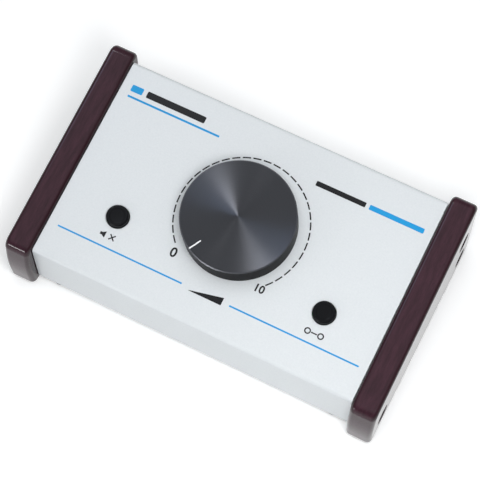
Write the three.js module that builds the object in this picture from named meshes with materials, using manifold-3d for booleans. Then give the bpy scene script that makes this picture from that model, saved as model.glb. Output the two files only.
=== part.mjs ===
// Studio monitor controller: a sloping sheet-steel body between two lacquered wooden cheeks, with a
// volume knob, two latching push buttons and a row of audio sockets in the rear wall.
// Millimetres, +Z up, +X to the user's right, +Y to the rear. The origin is on the table, under
// the middle of the controller.

import * as THREE from 'three';
import { mergeVertices } from 'three/addons/utils/BufferGeometryUtils.js';
import Module from 'manifold-3d';

const wasm = await Module();
wasm.setup();

// Gaps
const seatGap = 0.05; // between flat faces that rest on each other
const fitGap = 0.3; // around a fixed piece in its hole
const runGap = 0.2; // around a piece that turns or slides
const overrun = 1; // how far a cutter passes the faces that it opens

// Body shell: front wall, sloping control panel and rear wall, bent from one sheet
const panelWidth = 145.4;
const panelLength = 92.2; // up the slope
const slopeDegrees = 8;
const frontWallHeight = 27.6;
const sheetThickness = 1.2;
const bendRadius = 1.8;

// Wooden cheeks
const cheekThickness = 11.4;
const cheekGap = 0.3; // the shadow line beside the body
const cheekProud = 2; // above the control panel
const cheekDrop = 3; // below the underside of the body
const cheekEdgeRadius = 2;
const cheekFootRadius = 3.2; // of the lower corners of the outline seen from the side

// The two ends of a cheek, past the front wall and past the rear wall
const cheekFrontOverhang = 2.9; // of the upper corner, past the wall
const cheekFrontLean = 0.7; // how much further the lower corner stands out
const cheekFrontBow = 2.1; // from the line between the corners to where the end's tangents meet
const cheekFrontCornerRadius = 5; // of the upper corner
const cheekRearOverhang = 4.1;
const cheekRearLean = 0.2;
const cheekRearBow = 0.5;
const cheekRearCornerRadius = 4.5;

// Cheek screws, in counterbores in the outer faces
const cheekScrewRadius = 2;
const cheekScrewHeadRadius = 3.6;
const cheekScrewHeadHeight = 2.2;
const cheekScrewInset = 5.2; // from the front and rear edges of the tray's side wall
const cheekScrewLowHeight = 8.5; // above the underside of the body
const cheekScrewHighHeight = 24.5;
const counterboreRadius = 4.3;
const counterboreDepth = 5.2;

// Nuts pressed into the tray
const nutBossRadius = 3.2;
const nutBossHeight = 1.6;

// Rubber feet and the screws that pass through them
const footHeight = 4;
const footRadius = 5;
const footTaper = 0.3;
const footEdge = 0.4;
const footInsetSide = 8.2; // from the side of the body to the middle of the foot
const footInsetEnd = 6.1; // from the front or rear wall to the middle of the foot
const footScrewRadius = 1.5;
const footScrewHeadRadius = 2.5;
const footScrewHeadHeight = 1.5;
const footRecessDepth = 2.2;
const flangeMargin = 1.9; // of the body's return flange past the foot

// Volume knob
const knobY = 0.5; // up the slope from the middle of the panel
const knobRadius = 24;
const knobTop = 12.3; // above the panel
const knobLift = 0.8; // gap under its skirt
const knobChamfer = 0.45;
const knobWall = 4;
const knobCrown = 2.6; // thickness of its top
const knobHubRadius = 8;
const knobHubLift = 4.2; // clears the potentiometer's nut
const pointerLength = 6;
const pointerWidth = 0.7;
const pointerDepth = 0.25;
const pointerDegrees = 240; // at the 7 o'clock stop
const setScrewRadius = 1.5;
const setScrewLength = 4.2;
const setScrewHeight = 7.6; // above the panel

// Potentiometer
const shaftRadius = 3;
const shaftFlatDepth = 1;
const shaftEndGap = 0.6; // from the shaft's end to the bottom of the knob's bore
const bushingRadius = 3.5;
const bushingTop = 3.6; // above the panel
const potCaseWidth = 17;
const potCaseHeight = 12.5;
const potFloor = 1.5;
const rotorRadius = 6.2;
const rotorThickness = 2.4;
const potWasherRadius = 6;
const potWasherThickness = 0.6;
const potNutAcrossFlats = 10;
const potNutThickness = 2.2;

// Push buttons and their latching switches
const buttonSpacing = 94.2;
const buttonY = -18.1; // down the slope from the middle of the panel
const buttonRadius = 4.7;
const buttonProud = 2.2; // above the panel, released
const buttonTravel = 2;
const buttonChamfer = 0.5;
const buttonWall = 0.9;
const buttonCrown = 1.3;
const buttonPostRadius = 2.9;
const buttonDishRadius = 3.3;
const buttonDishDepth = 0.25;
const buttonClearance = 0.8; // left over the switch when the button is pressed
const stemWidth = 3.2;
const switchWidth = 8.5;
const switchHeight = 8;
const switchWall = 1;
const collarWidth = 6;
const collarThickness = 1;
const springRadius = 2.2;
const springWireRadius = 0.22;
const springCurls = 4;

// Control board, which hangs from the panel on two pillars
const boardThickness = 1.6;
const boardFrontMargin = 10; // in front of the buttons
const boardSideMargin = 6; // outside the pillars
const boardRearMargin = 5; // behind the pillars
const boardGap = 0.9; // from the control board to the header on the connector board
const pillarSpacing = 100;
const pillarAcrossFlats = 5.5;
const pillarBoreDepth = 7;
const boardScrewRadius = 1.5;
const boardScrewHeadRadius = 2.7;
const boardScrewHeadHeight = 1.4;
const boardScrewLength = 6;

// Rear sockets
const socketPitchInner = 50; // between the two inner sockets
const socketPitchOuter = 109;
const socketClearance = 1.07; // from the lower flange screws down to the nuts in the floor
const flangeWidth = 26;
const flangeHeight = 31;
const flangeThickness = 1.8;
const flangeCorner = 3;
const flangeScrewInset = 3.5; // from the edges of the flange
const flangeScrewRadius = 1.5;
const flangeScrewHeadRadius = 2.6;
const flangeScrewHeadHeight = 1.2;
const flangeScrewLength = 6.5;
const tubeRadius = 11.7;
const tubeDepth = 24; // behind the outside of the rear wall
const boreRadius = 9.7;
const boreChamfer = 0.5;
const insertBase = 7; // thickness of the moulding that closes the tube
const noseRadius = 7.8;
const noseRecess = 1.2; // behind the face of the flange
const jackBoreRadius = 3.25;
const jackBoreDepth = 21;
const contactCircle = 5.1;
const contactHoleRadius = 1.35;
const contactHoleDepth = 12;
const pinRadius = 1.2;
const pinTip = 0.6;
const pinRecess = 2.4; // behind the face of the flange
const pinLength = 13;
const latchNotchWidth = 5;
const latchNotchDepth = 1; // into the wall of the tube
const latchNotchLength = 5;

// Small stereo jack between the sockets
const miniBarrelRadius = 3;
const miniBarrelLength = 2.4; // outside the rear wall
const miniBoreRadius = 1.8;
const miniBoreDepth = 13;
const miniCaseWidth = 11;
const miniCaseHeight = 8;
const miniCaseDepth = 11.5;
const miniNutRadius = 4.6;
const miniNutThickness = 1.6;
const miniNutChamfer = 0.35;

// Connector board behind the sockets, and the ribbon cable between the boards
const connectorBoardHeight = 25;
const connectorBoardMargin = 3; // outside the outer sockets
const ribbonX = 29;
const ribbonWidth = 16;
const ribbonThickness = 0.9;
const ribbonRise = 2; // of the legs under the arch
const headerMargin = 1; // of the headers past the ribbon
const headerDepth = 4.6;
const headerHeight = 6;

// Facets
const bendSteps = 3;
const smallSteps = 8;
const holeSteps = 16;
const socketSteps = 24;
const footSteps = 16;
const knobSteps = 60;
const buttonSteps = 24;
const bevelSteps = 3;
const springSteps = 8; // along one curl
const springSides = 5;
const hexagonSides = 6;

// Worked out from the sizes above
const slope = THREE.MathUtils.degToRad(slopeDegrees);
const bodyDepth = panelLength * Math.cos(slope);
const rearWallHeight = frontWallHeight + panelLength * Math.sin(slope);
const bodyBottom = footHeight;
const panelCentreHeight = bodyBottom + (frontWallHeight + rearWallHeight) / 2;
const footX = panelWidth / 2 - footInsetSide;
const footY = bodyDepth / 2 - footInsetEnd;
const returnFlange = footInsetEnd + footRadius + flangeMargin;
const trayBottom = bodyBottom + sheetThickness + seatGap;
const floorNutTop = trayBottom + sheetThickness + nutBossHeight;
const flangeScrewSide = flangeWidth / 2 - flangeScrewInset; // from the socket's axis
const flangeScrewUp = flangeHeight / 2 - flangeScrewInset;
const socketHeight = floorNutTop + socketClearance + flangeScrewRadius + flangeScrewUp;
const trayDepth = bodyDepth - 2 * bendRadius; // its edges end where the bends begin
const cheekInner = panelWidth / 2 + cheekGap;
const cheekOuter = cheekInner + cheekThickness;
const potTop = -(sheetThickness + seatGap);
const boardTop = potTop - potCaseHeight - seatGap;
const switchTop = boardTop + seatGap + switchHeight;
const connectorBoardFace = -(tubeDepth + seatGap);
const connectorBoardBack = connectorBoardFace - boardThickness;

// Places: the panel's outer face and the rear wall's outer face, each with +Z pointing outwards
const onPanel = new THREE.Matrix4().makeRotationX(slope).setPosition(0, 0, panelCentreHeight);
const onRear = new THREE.Matrix4().makeRotationX(-Math.PI / 2).setPosition(0, bodyDepth / 2, socketHeight);

// Rear end of the control board, up the slope, which stops short of the connector board
const boardRear = (bodyDepth / 2 + connectorBoardBack - headerDepth - boardGap) / Math.cos(slope)
  + (boardTop - boardThickness) * Math.tan(slope);
const pillarY = boardRear - boardRearMargin;
const boardFront = buttonY - boardFrontMargin;

const finish = {
  paint: { color: 0xdfe3e8, roughness: 0.45, metalness: 0.3 },
  zinc: { color: 0xa9adb0, roughness: 0.5, metalness: 0.8 },
  wood: { color: 0x3a1a20, roughness: 0.18, metalness: 0 },
  rubber: { color: 0x1b1b1c, roughness: 0.9, metalness: 0 },
  anodised: { color: 0x303033, roughness: 0.35, metalness: 0.9 },
  blackSteel: { color: 0x1c1c1e, roughness: 0.4, metalness: 0.8 },
  buttonPlastic: { color: 0x17181a, roughness: 0.4, metalness: 0 },
  socketPlastic: { color: 0x141415, roughness: 0.5, metalness: 0 },
  switchPlastic: { color: 0x202226, roughness: 0.6, metalness: 0 },
  brightSteel: { color: 0xc9cbcc, roughness: 0.3, metalness: 1 },
  silverContact: { color: 0xd9d7cf, roughness: 0.25, metalness: 1 },
  laminate: { color: 0x1f5a34, roughness: 0.5, metalness: 0 },
  ribbon: { color: 0x9a9da0, roughness: 0.7, metalness: 0 },
};
for (const name of Object.keys(finish)) {
  finish[name] = new THREE.MeshStandardMaterial({ ...finish[name], flatShading: true, name });
}

// Shape tools

function weld(geometry) {
  geometry.deleteAttribute('normal');
  geometry.deleteAttribute('uv');
  const merged = mergeVertices(geometry);
  const corners = merged.index.array;
  const kept = [];
  for (let first = 0; first < corners.length; first += 3) {
    const [a, b, c] = corners.subarray(first, first + 3);
    if (a !== b && b !== c && c !== a) kept.push(a, b, c);
  }
  merged.setIndex(kept);
  return merged;
}

function toSolid(geometry) {
  const merged = weld(geometry.clone());
  return new wasm.Manifold(new wasm.Mesh({
    numProp: 3,
    vertProperties: new Float32Array(merged.attributes.position.array),
    triVerts: new Uint32Array(merged.index.array),
  }));
}

function toGeometry(solid) {
  const mesh = solid.getMesh();
  const geometry = new THREE.BufferGeometry();
  geometry.setAttribute('position', new THREE.BufferAttribute(mesh.vertProperties, 3));
  geometry.setIndex(new THREE.BufferAttribute(mesh.triVerts, 1));
  return geometry;
}

function join(...pieces) {
  return toGeometry(pieces.map(toSolid).reduce((sum, next) => sum.add(next)));
}

function cut(body, ...tools) {
  return toGeometry(tools.map(toSolid).reduce((rest, tool) => rest.subtract(tool), toSolid(body)));
}

function drum(radius, bottom, top, steps) {
  const geometry = new THREE.CylinderGeometry(radius, radius, top - bottom, steps);
  return geometry.rotateX(Math.PI / 2).translate(0, 0, (bottom + top) / 2);
}

function block(width, depth, bottom, top) {
  return new THREE.BoxGeometry(width, depth, top - bottom).translate(0, 0, (bottom + top) / 2);
}

// Solid of revolution about +Z from [radius, height] pairs that run anticlockwise.
function revolve(outline, steps) {
  const points = outline.map(([radius, height]) => new THREE.Vector2(radius, height));
  return weld(new THREE.LatheGeometry(points, steps).rotateX(Math.PI / 2));
}

function ring(inner, outer, bottom, top, steps) {
  return revolve([[inner, bottom], [outer, bottom], [outer, top], [inner, top], [inner, bottom]], steps);
}

function upright(shape, bottom, top, steps) {
  const settings = { depth: top - bottom, bevelEnabled: false, curveSegments: steps };
  return new THREE.ExtrudeGeometry(shape, settings).translate(0, 0, bottom);
}

// A side view, drawn with the rear to the right, carried along +X.
function turnAcross(geometry) {
  const rear = new THREE.Vector3(0, 1, 0);
  const up = new THREE.Vector3(0, 0, 1);
  const right = new THREE.Vector3(1, 0, 0);
  return geometry.applyMatrix4(new THREE.Matrix4().makeBasis(rear, up, right));
}

// Where a corner is rounded: the centre of its arc and the angles at which the arc starts and ends.
function bendAt(before, corner, after, radius) {
  const into = corner.clone().sub(before).normalize();
  const out = after.clone().sub(corner).normalize();
  const inwardBefore = new THREE.Vector2(-into.y, into.x);
  const inwardAfter = new THREE.Vector2(-out.y, out.x);
  const reach = radius / (1 + inwardBefore.dot(inwardAfter));
  const centre = corner.clone().addScaledVector(inwardBefore, reach).addScaledVector(inwardAfter, reach);
  return { centre, start: inwardBefore.negate().angle(), end: inwardAfter.negate().angle() };
}

// A sheet bent along its outer corners, which run anticlockwise.
function bentSheet(corners, thickness, radius) {
  const bends = corners.slice(1, -1).map((corner, index) => (
    bendAt(corners[index], corner, corners[index + 2], radius)));
  const [first, second] = corners;
  const [beforeLast, last] = corners.slice(-2);
  const inwards = (from, to) => new THREE.Vector2(from.y - to.y, to.x - from.x).setLength(thickness);
  const lastInner = last.clone().add(inwards(beforeLast, last));
  const firstInner = first.clone().add(inwards(first, second));
  const shape = new THREE.Shape();
  shape.moveTo(first.x, first.y);
  for (const { centre, start, end } of bends) shape.absarc(centre.x, centre.y, radius, start, end, false);
  shape.lineTo(last.x, last.y);
  shape.lineTo(lastInner.x, lastInner.y);
  for (const { centre, start, end } of bends.reverse()) {
    shape.absarc(centre.x, centre.y, radius - thickness, end, start, true);
  }
  shape.lineTo(firstInner.x, firstInner.y);
  return shape;
}

function roundedOutline(corners, radius) {
  const shape = new THREE.Shape();
  corners.forEach((corner, index) => {
    const before = corners.at(index - 1);
    const after = corners[(index + 1) % corners.length];
    const { centre, start, end } = bendAt(before, corner, after, radius);
    shape.absarc(centre.x, centre.y, radius, start, end, false);
  });
  return shape;
}

function rectangleCorners(width, height) {
  const signs = [[-1, -1], [1, -1], [1, 1], [-1, 1]];
  return signs.map(([right, up]) => new THREE.Vector2(right * width / 2, up * height / 2));
}

function roundHole(radius) {
  return new THREE.Path().absarc(0, 0, radius, 0, 2 * Math.PI, true);
}

function hexagon(acrossFlats, bottom, top) {
  return drum(acrossFlats / 2 / Math.cos(Math.PI / hexagonSides), bottom, top, hexagonSides);
}

function add(parent, name, geometry, material) {
  const mesh = new THREE.Mesh(geometry, material);
  mesh.name = name;
  parent.add(mesh);
  return mesh;
}

// A pan head whose underside is at height zero, with its shank below it.
function panScrew(radius, headRadius, headHeight, length) {
  return revolve([
    [0, -length], [radius, -length], [radius, 0], [headRadius, 0],
    [headRadius, headHeight / 2], [headRadius * Math.SQRT1_2, headHeight], [0, headHeight],
  ], smallSteps);
}

// A countersunk head whose top is at height zero. The allowance widens it all over, for its hole.
function countersunkScrew(radius, headRadius, headHeight, length, allowance) {
  return revolve([
    [0, -length], [radius + allowance, -length], [radius + allowance, -headHeight],
    [headRadius + allowance, 0], [headRadius + allowance, allowance], [0, allowance],
  ], smallSteps);
}

// Where the screws go

const footPlaces = [
  { name: 'front_left', x: -footX, y: -footY },
  { name: 'front_right', x: footX, y: -footY },
  { name: 'rear_left', x: -footX, y: footY },
  { name: 'rear_right', x: footX, y: footY },
];

const cheekScrewY = trayDepth / 2 - cheekScrewInset;
const cheekScrewPlaces = [
  { name: 'front', y: -cheekScrewY, z: bodyBottom + cheekScrewLowHeight },
  { name: 'rear_lower', y: cheekScrewY, z: bodyBottom + cheekScrewLowHeight },
  { name: 'rear_upper', y: cheekScrewY, z: bodyBottom + cheekScrewHighHeight },
];

const sides = [{ name: 'left', sign: -1 }, { name: 'right', sign: 1 }];

const sockets = [
  { name: 'input_left', x: socketPitchOuter / 2, male: false },
  { name: 'input_right', x: socketPitchInner / 2, male: false },
  { name: 'output_left', x: -socketPitchInner / 2, male: true },
  { name: 'output_right', x: -socketPitchOuter / 2, male: true },
];

// The screws stand at two opposite corners of a socket's flange.
const flangeScrewPlaces = [
  { name: 'upper', x: -flangeScrewSide, y: -flangeScrewUp },
  { name: 'lower', x: flangeScrewSide, y: flangeScrewUp },
];

// Body

function shellCutters() {
  const through = sheetThickness + overrun;
  const panelCutters = sides.map(({ sign }) => (
    drum(buttonRadius + fitGap, -through, overrun, buttonSteps)
      .translate(sign * buttonSpacing / 2, buttonY, 0)));
  panelCutters.push(drum(bushingRadius + fitGap, -through, overrun, holeSteps).translate(0, knobY, 0));
  const rearCutters = [drum(miniBarrelRadius + fitGap, -through, overrun, holeSteps)];
  for (const { x } of sockets) {
    rearCutters.push(drum(tubeRadius + fitGap, -through, overrun, socketSteps).translate(x, 0, 0));
    for (const place of flangeScrewPlaces) {
      const hole = drum(flangeScrewRadius + fitGap, -through, overrun, smallSteps);
      rearCutters.push(hole.translate(x + place.x, place.y, 0));
    }
  }
  const footCutters = footPlaces.map(({ x, y }) => (
    drum(footScrewRadius + fitGap, bodyBottom - overrun, trayBottom + overrun, smallSteps)
      .translate(x, y, 0)));
  return [
    ...panelCutters.map((tool) => tool.applyMatrix4(onPanel)),
    ...rearCutters.map((tool) => tool.applyMatrix4(onRear)),
    ...footCutters,
  ];
}

function bodyShell() {
  const half = bodyDepth / 2;
  const corners = [
    new THREE.Vector2(half - returnFlange, bodyBottom),
    new THREE.Vector2(half, bodyBottom),
    new THREE.Vector2(half, bodyBottom + rearWallHeight),
    new THREE.Vector2(-half, bodyBottom + frontWallHeight),
    new THREE.Vector2(-half, bodyBottom),
    new THREE.Vector2(returnFlange - half, bodyBottom),
  ];
  const outline = bentSheet(corners, sheetThickness, bendRadius);
  const bent = turnAcross(upright(outline, -panelWidth / 2, panelWidth / 2, bendSteps));
  return cut(bent, ...shellCutters());
}

function trayBlank() {
  const wallTop = bodyBottom + rearWallHeight;
  const half = panelWidth / 2;
  const corners = [
    new THREE.Vector2(-half, wallTop),
    new THREE.Vector2(-half, trayBottom),
    new THREE.Vector2(half, trayBottom),
    new THREE.Vector2(half, wallTop),
  ];
  const outline = bentSheet(corners, sheetThickness, bendRadius);
  const channel = upright(outline, -trayDepth / 2, trayDepth / 2, bendSteps).rotateX(Math.PI / 2);
  const underPanel = -(sheetThickness + fitGap);
  const above = block(panelWidth + overrun, panelLength + rearWallHeight, underPanel, rearWallHeight);
  return cut(channel, above.applyMatrix4(onPanel));
}

function bottomTray() {
  const bosses = footPlaces.map(({ x, y }) => (
    drum(nutBossRadius, trayBottom, floorNutTop, holeSteps).translate(x, y, 0)));
  const holes = footPlaces.map(({ x, y }) => (
    drum(footScrewRadius + fitGap, trayBottom - overrun, floorNutTop + overrun, smallSteps)
      .translate(x, y, 0)));
  const wallOuter = panelWidth / 2;
  const wallInner = wallOuter - sheetThickness;
  for (const { sign } of sides) {
    for (const { y, z } of cheekScrewPlaces) {
      const place = (tool) => tool.rotateY(sign * Math.PI / 2).translate(0, y, z);
      bosses.push(place(drum(nutBossRadius, wallInner - nutBossHeight, wallOuter, holeSteps)));
      const inner = wallInner - nutBossHeight - overrun;
      holes.push(place(drum(cheekScrewRadius + fitGap, inner, wallOuter + overrun, smallSteps)));
    }
  }
  return cut(join(trayBlank(), ...bosses), ...holes);
}

// Side view of a cheek. Each end bows out between its rounded corners: middle is where the tangents
// at its corners meet, and so the control point of its curve.
function cheekOutline() {
  const bottom = bodyBottom - cheekDrop;
  const corners = (sign, wallHeight, overhang, lean, bow) => {
    const upper = bodyDepth / 2 + overhang;
    const lower = upper + lean;
    const reach = (upper + lower) / 2 + bow;
    const rise = sign * overhang * Math.tan(slope);
    const top = bodyBottom + wallHeight + cheekProud / Math.cos(slope) + rise;
    return {
      top: new THREE.Vector2(sign * upper, top),
      middle: new THREE.Vector2(sign * reach, (bottom + top) / 2),
      foot: new THREE.Vector2(sign * lower, bottom),
    };
  };
  const front = corners(-1, frontWallHeight, cheekFrontOverhang, cheekFrontLean, cheekFrontBow);
  const rear = corners(1, rearWallHeight, cheekRearOverhang, cheekRearLean, cheekRearBow);
  const shape = new THREE.Shape();
  const round = ({ centre, start, end }, radius) => {
    shape.absarc(centre.x, centre.y, radius, start, end, false);
  };
  const bow = ({ x, y }, { centre, start }, radius) => {
    shape.quadraticCurveTo(x, y, centre.x + radius * Math.cos(start), centre.y + radius * Math.sin(start));
  };
  const frontFoot = bendAt(front.middle, front.foot, rear.foot, cheekFootRadius);
  const rearTopCorner = bendAt(rear.middle, rear.top, front.top, cheekRearCornerRadius);
  round(bendAt(rear.top, front.top, front.middle, cheekFrontCornerRadius), cheekFrontCornerRadius);
  bow(front.middle, frontFoot, cheekFootRadius);
  round(frontFoot, cheekFootRadius);
  round(bendAt(front.foot, rear.foot, rear.middle, cheekFootRadius), cheekFootRadius);
  bow(rear.middle, rearTopCorner, cheekRearCornerRadius);
  round(rearTopCorner, cheekRearCornerRadius);
  return shape;
}

function cheek(sign) {
  const plank = new THREE.ExtrudeGeometry(cheekOutline(), {
    depth: cheekThickness - 2 * cheekEdgeRadius,
    bevelThickness: cheekEdgeRadius,
    bevelSize: cheekEdgeRadius,
    bevelOffset: -cheekEdgeRadius,
    bevelSegments: bevelSteps,
    curveSegments: bendSteps,
  });
  plank.translate(0, 0, cheekEdgeRadius - cheekThickness / 2);
  turnAcross(plank).translate(sign * (cheekInner + cheekOuter) / 2, 0, 0);
  const tools = cheekScrewPlaces.flatMap(({ y, z }) => {
    const place = (tool) => tool.rotateY(sign * Math.PI / 2).translate(0, y, z);
    return [
      place(drum(counterboreRadius, cheekOuter - counterboreDepth, cheekOuter + overrun, holeSteps)),
      place(drum(cheekScrewRadius + fitGap, cheekInner - overrun, cheekOuter, smallSteps)),
    ];
  });
  return cut(plank, ...tools);
}

function addCheeks(controller) {
  const seat = cheekOuter - counterboreDepth + seatGap;
  const length = seat - (panelWidth / 2 - sheetThickness - nutBossHeight);
  for (const { name, sign } of sides) {
    add(controller, `${name}_cheek`, cheek(sign), finish.wood);
    for (const place of cheekScrewPlaces) {
      const screw = panScrew(cheekScrewRadius, cheekScrewHeadRadius, cheekScrewHeadHeight, length);
      const mesh = add(controller, `${name}_cheek_screw_${place.name}`, screw, finish.blackSteel);
      mesh.rotation.y = sign * Math.PI / 2;
      mesh.position.set(sign * seat, place.y, place.z);
    }
  }
}

function foot() {
  const top = footHeight - seatGap;
  const tip = footRadius - footTaper;
  const recess = footScrewHeadRadius + fitGap;
  const hole = footScrewRadius + fitGap;
  return revolve([
    [recess, 0], [tip - footEdge, 0], [tip, footEdge], [footRadius, top], [hole, top],
    [hole, footRecessDepth], [recess, footRecessDepth], [recess, 0],
  ], footSteps);
}

function addFeet(controller) {
  const headUnderside = footRecessDepth - seatGap;
  const length = floorNutTop - headUnderside;
  for (const { name, x, y } of footPlaces) {
    add(controller, `foot_${name}`, foot(), finish.rubber).position.set(x, y, 0);
    const screw = panScrew(footScrewRadius, footScrewHeadRadius, footScrewHeadHeight, length);
    const mesh = add(controller, `foot_screw_${name}`, screw, finish.brightSteel);
    mesh.rotation.x = Math.PI;
    mesh.position.set(x, y, headUnderside);
  }
}

// Volume knob and potentiometer

const pointerAngle = THREE.MathUtils.degToRad(pointerDegrees);
const knobCeiling = knobTop - knobCrown;

function volumeKnob() {
  const cavity = knobRadius - knobWall;
  const bore = shaftRadius + seatGap;
  const body = revolve([
    [bore, knobHubLift], [knobHubRadius, knobHubLift], [knobHubRadius, knobCeiling], [cavity, knobCeiling],
    [cavity, knobLift], [knobRadius - knobChamfer, knobLift], [knobRadius, knobLift + knobChamfer],
    [knobRadius, knobTop - knobChamfer], [knobRadius - knobChamfer, knobTop], [0, knobTop],
    [0, knobCeiling], [bore, knobCeiling], [bore, knobHubLift],
  ], knobSteps);
  const access = drum(setScrewRadius + fitGap, 0, knobRadius + overrun, smallSteps)
    .rotateY(Math.PI / 2).rotateZ(pointerAngle + Math.PI).translate(0, 0, setScrewHeight);
  const groove = block(pointerLength + overrun, pointerWidth, knobTop - pointerDepth, knobTop + overrun)
    .translate(knobRadius - (pointerLength - overrun) / 2, 0, 0).rotateZ(pointerAngle);
  return cut(body, access, groove);
}

function setScrew() {
  const start = shaftRadius - shaftFlatDepth + seatGap;
  return drum(setScrewRadius, start, start + setScrewLength, smallSteps)
    .rotateY(Math.PI / 2).rotateZ(pointerAngle + Math.PI).translate(0, 0, setScrewHeight);
}

const rotorBottom = potTop - potCaseHeight + potFloor;

function potShaft() {
  const bottom = rotorBottom + runGap;
  const top = knobCeiling - shaftEndGap;
  const turned = revolve([
    [0, bottom], [rotorRadius, bottom], [rotorRadius, bottom + rotorThickness],
    [shaftRadius, bottom + rotorThickness], [shaftRadius, top], [0, top],
  ], holeSteps);
  const flat = block(shaftRadius, 2 * shaftRadius + overrun, bushingTop, top + overrun)
    .translate(shaftRadius - shaftFlatDepth + shaftRadius / 2, 0, 0).rotateZ(pointerAngle + Math.PI);
  return cut(turned, flat);
}

function potCase() {
  const bottom = potTop - potCaseHeight;
  const cavityTop = rotorBottom + rotorThickness + 2 * runGap;
  const bushing = drum(bushingRadius, bottom, bushingTop, holeSteps);
  return cut(
    join(block(potCaseWidth, potCaseWidth, bottom, potTop), bushing),
    drum(rotorRadius + runGap, rotorBottom, cavityTop, holeSteps),
    drum(shaftRadius + runGap, rotorBottom, bushingTop + overrun, holeSteps),
  );
}

function potNut() {
  const bottom = potWasherThickness + 2 * seatGap;
  const bore = drum(bushingRadius + seatGap, bottom - overrun, bottom + potNutThickness + overrun, holeSteps);
  return cut(hexagon(potNutAcrossFlats, bottom, bottom + potNutThickness), bore);
}

function addVolume(panel) {
  const volume = new THREE.Group();
  volume.position.y = knobY;
  panel.add(volume);
  add(volume, 'volume_knob', volumeKnob(), finish.anodised);
  add(volume, 'knob_set_screw', setScrew(), finish.blackSteel);
  add(volume, 'pot_shaft', potShaft(), finish.brightSteel);
  add(volume, 'pot_case', potCase(), finish.zinc);
  const washerTop = seatGap + potWasherThickness;
  const washer = ring(bushingRadius + seatGap, potWasherRadius, seatGap, washerTop, holeSteps);
  add(volume, 'pot_washer', washer, finish.brightSteel);
  add(volume, 'pot_nut', potNut(), finish.brightSteel);
}

// Push buttons

const buttonCeiling = buttonProud - buttonCrown;
const skirtBottom = switchTop + buttonTravel + buttonClearance;

function buttonCap() {
  const inner = buttonRadius - buttonWall;
  const rim = buttonRadius - buttonChamfer;
  const cap = revolve([
    [0, skirtBottom], [buttonPostRadius, skirtBottom], [buttonPostRadius, buttonCeiling],
    [inner, buttonCeiling], [inner, skirtBottom], [buttonRadius, skirtBottom],
    [buttonRadius, buttonProud - buttonChamfer], [rim, buttonProud], [buttonDishRadius, buttonProud],
    [0, buttonProud - buttonDishDepth],
  ], buttonSteps);
  const socket = stemWidth + 2 * seatGap;
  return cut(cap, block(socket, socket, skirtBottom - overrun, buttonCeiling));
}

function switchStem() {
  const collarTop = switchTop - switchWall - seatGap;
  const collarBottom = collarTop - collarThickness;
  return join(
    block(stemWidth, stemWidth, collarBottom, buttonCeiling - seatGap),
    block(collarWidth, collarWidth, collarBottom, collarTop),
  );
}

function switchBody() {
  const bottom = boardTop + seatGap;
  const ceiling = switchTop - switchWall;
  const mouth = stemWidth + 2 * runGap;
  const chamber = collarWidth + 2 * runGap;
  return cut(
    block(switchWidth, switchWidth, bottom, switchTop),
    block(chamber, chamber, bottom + switchWall, ceiling),
    block(mouth, mouth, ceiling - overrun, switchTop + overrun),
  );
}

// Centre line of a spring, from its lowest point to its highest.
class SpringLine extends THREE.Curve {
  constructor(radius, bottom, top, curls) {
    super();
    Object.assign(this, { radius, bottom, top, curls });
  }

  getPoint(share, target = new THREE.Vector3()) {
    const angle = share * this.curls * 2 * Math.PI;
    const height = THREE.MathUtils.lerp(this.bottom, this.top, share);
    return target.set(this.radius * Math.cos(angle), this.radius * Math.sin(angle), height);
  }
}

function switchSpring() {
  const reach = springWireRadius + seatGap;
  const bottom = boardTop + seatGap + switchWall + reach;
  const top = switchTop - switchWall - seatGap - collarThickness - reach;
  const line = new SpringLine(springRadius, bottom, top, springCurls);
  const section = new THREE.Shape();
  for (let side = 0; side < springSides; side += 1) {
    const angle = side * 2 * Math.PI / springSides;
    const point = new THREE.Vector2(Math.cos(angle), Math.sin(angle)).multiplyScalar(springWireRadius);
    if (side === 0) section.moveTo(point.x, point.y);
    else section.lineTo(point.x, point.y);
  }
  return weld(new THREE.ExtrudeGeometry(section, { steps: springCurls * springSteps, extrudePath: line }));
}

function addButtons(panel) {
  for (const { name, sign } of sides) {
    const button = new THREE.Group();
    button.position.set(sign * buttonSpacing / 2, buttonY, 0);
    panel.add(button);
    add(button, `${name}_button_cap`, buttonCap(), finish.buttonPlastic);
    add(button, `${name}_switch_stem`, switchStem(), finish.switchPlastic);
    add(button, `${name}_switch_body`, switchBody(), finish.switchPlastic);
    add(button, `${name}_switch_spring`, switchSpring(), finish.brightSteel);
  }
}

// Boards

function header(bottom, top) {
  return block(ribbonWidth + 2 * headerMargin, headerDepth, bottom, top).translate(ribbonX, 0, 0);
}

// The ribbon's front leg stands on the control board's header, as far back as the board allows.
const ribbonFrontY = boardRear - headerDepth / 2;

function controlBoard() {
  const width = pillarSpacing + 2 * boardSideMargin;
  const depth = boardRear - boardFront;
  const plate = block(width, depth, boardTop - boardThickness, boardTop);
  plate.translate(0, (boardRear + boardFront) / 2, 0);
  const holes = sides.map(({ sign }) => (
    drum(boardScrewRadius + fitGap, boardTop - boardThickness - overrun, boardTop + overrun, smallSteps)
      .translate(sign * pillarSpacing / 2, pillarY, 0)));
  const socket = header(boardTop - boardThickness, boardTop + headerHeight).translate(0, ribbonFrontY, 0);
  return cut(join(plate, socket), ...holes);
}

function pillar() {
  const bottom = boardTop + seatGap;
  const bore = drum(boardScrewRadius + fitGap, bottom - overrun, bottom + pillarBoreDepth, smallSteps);
  return cut(hexagon(pillarAcrossFlats, bottom, potTop), bore);
}

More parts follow.
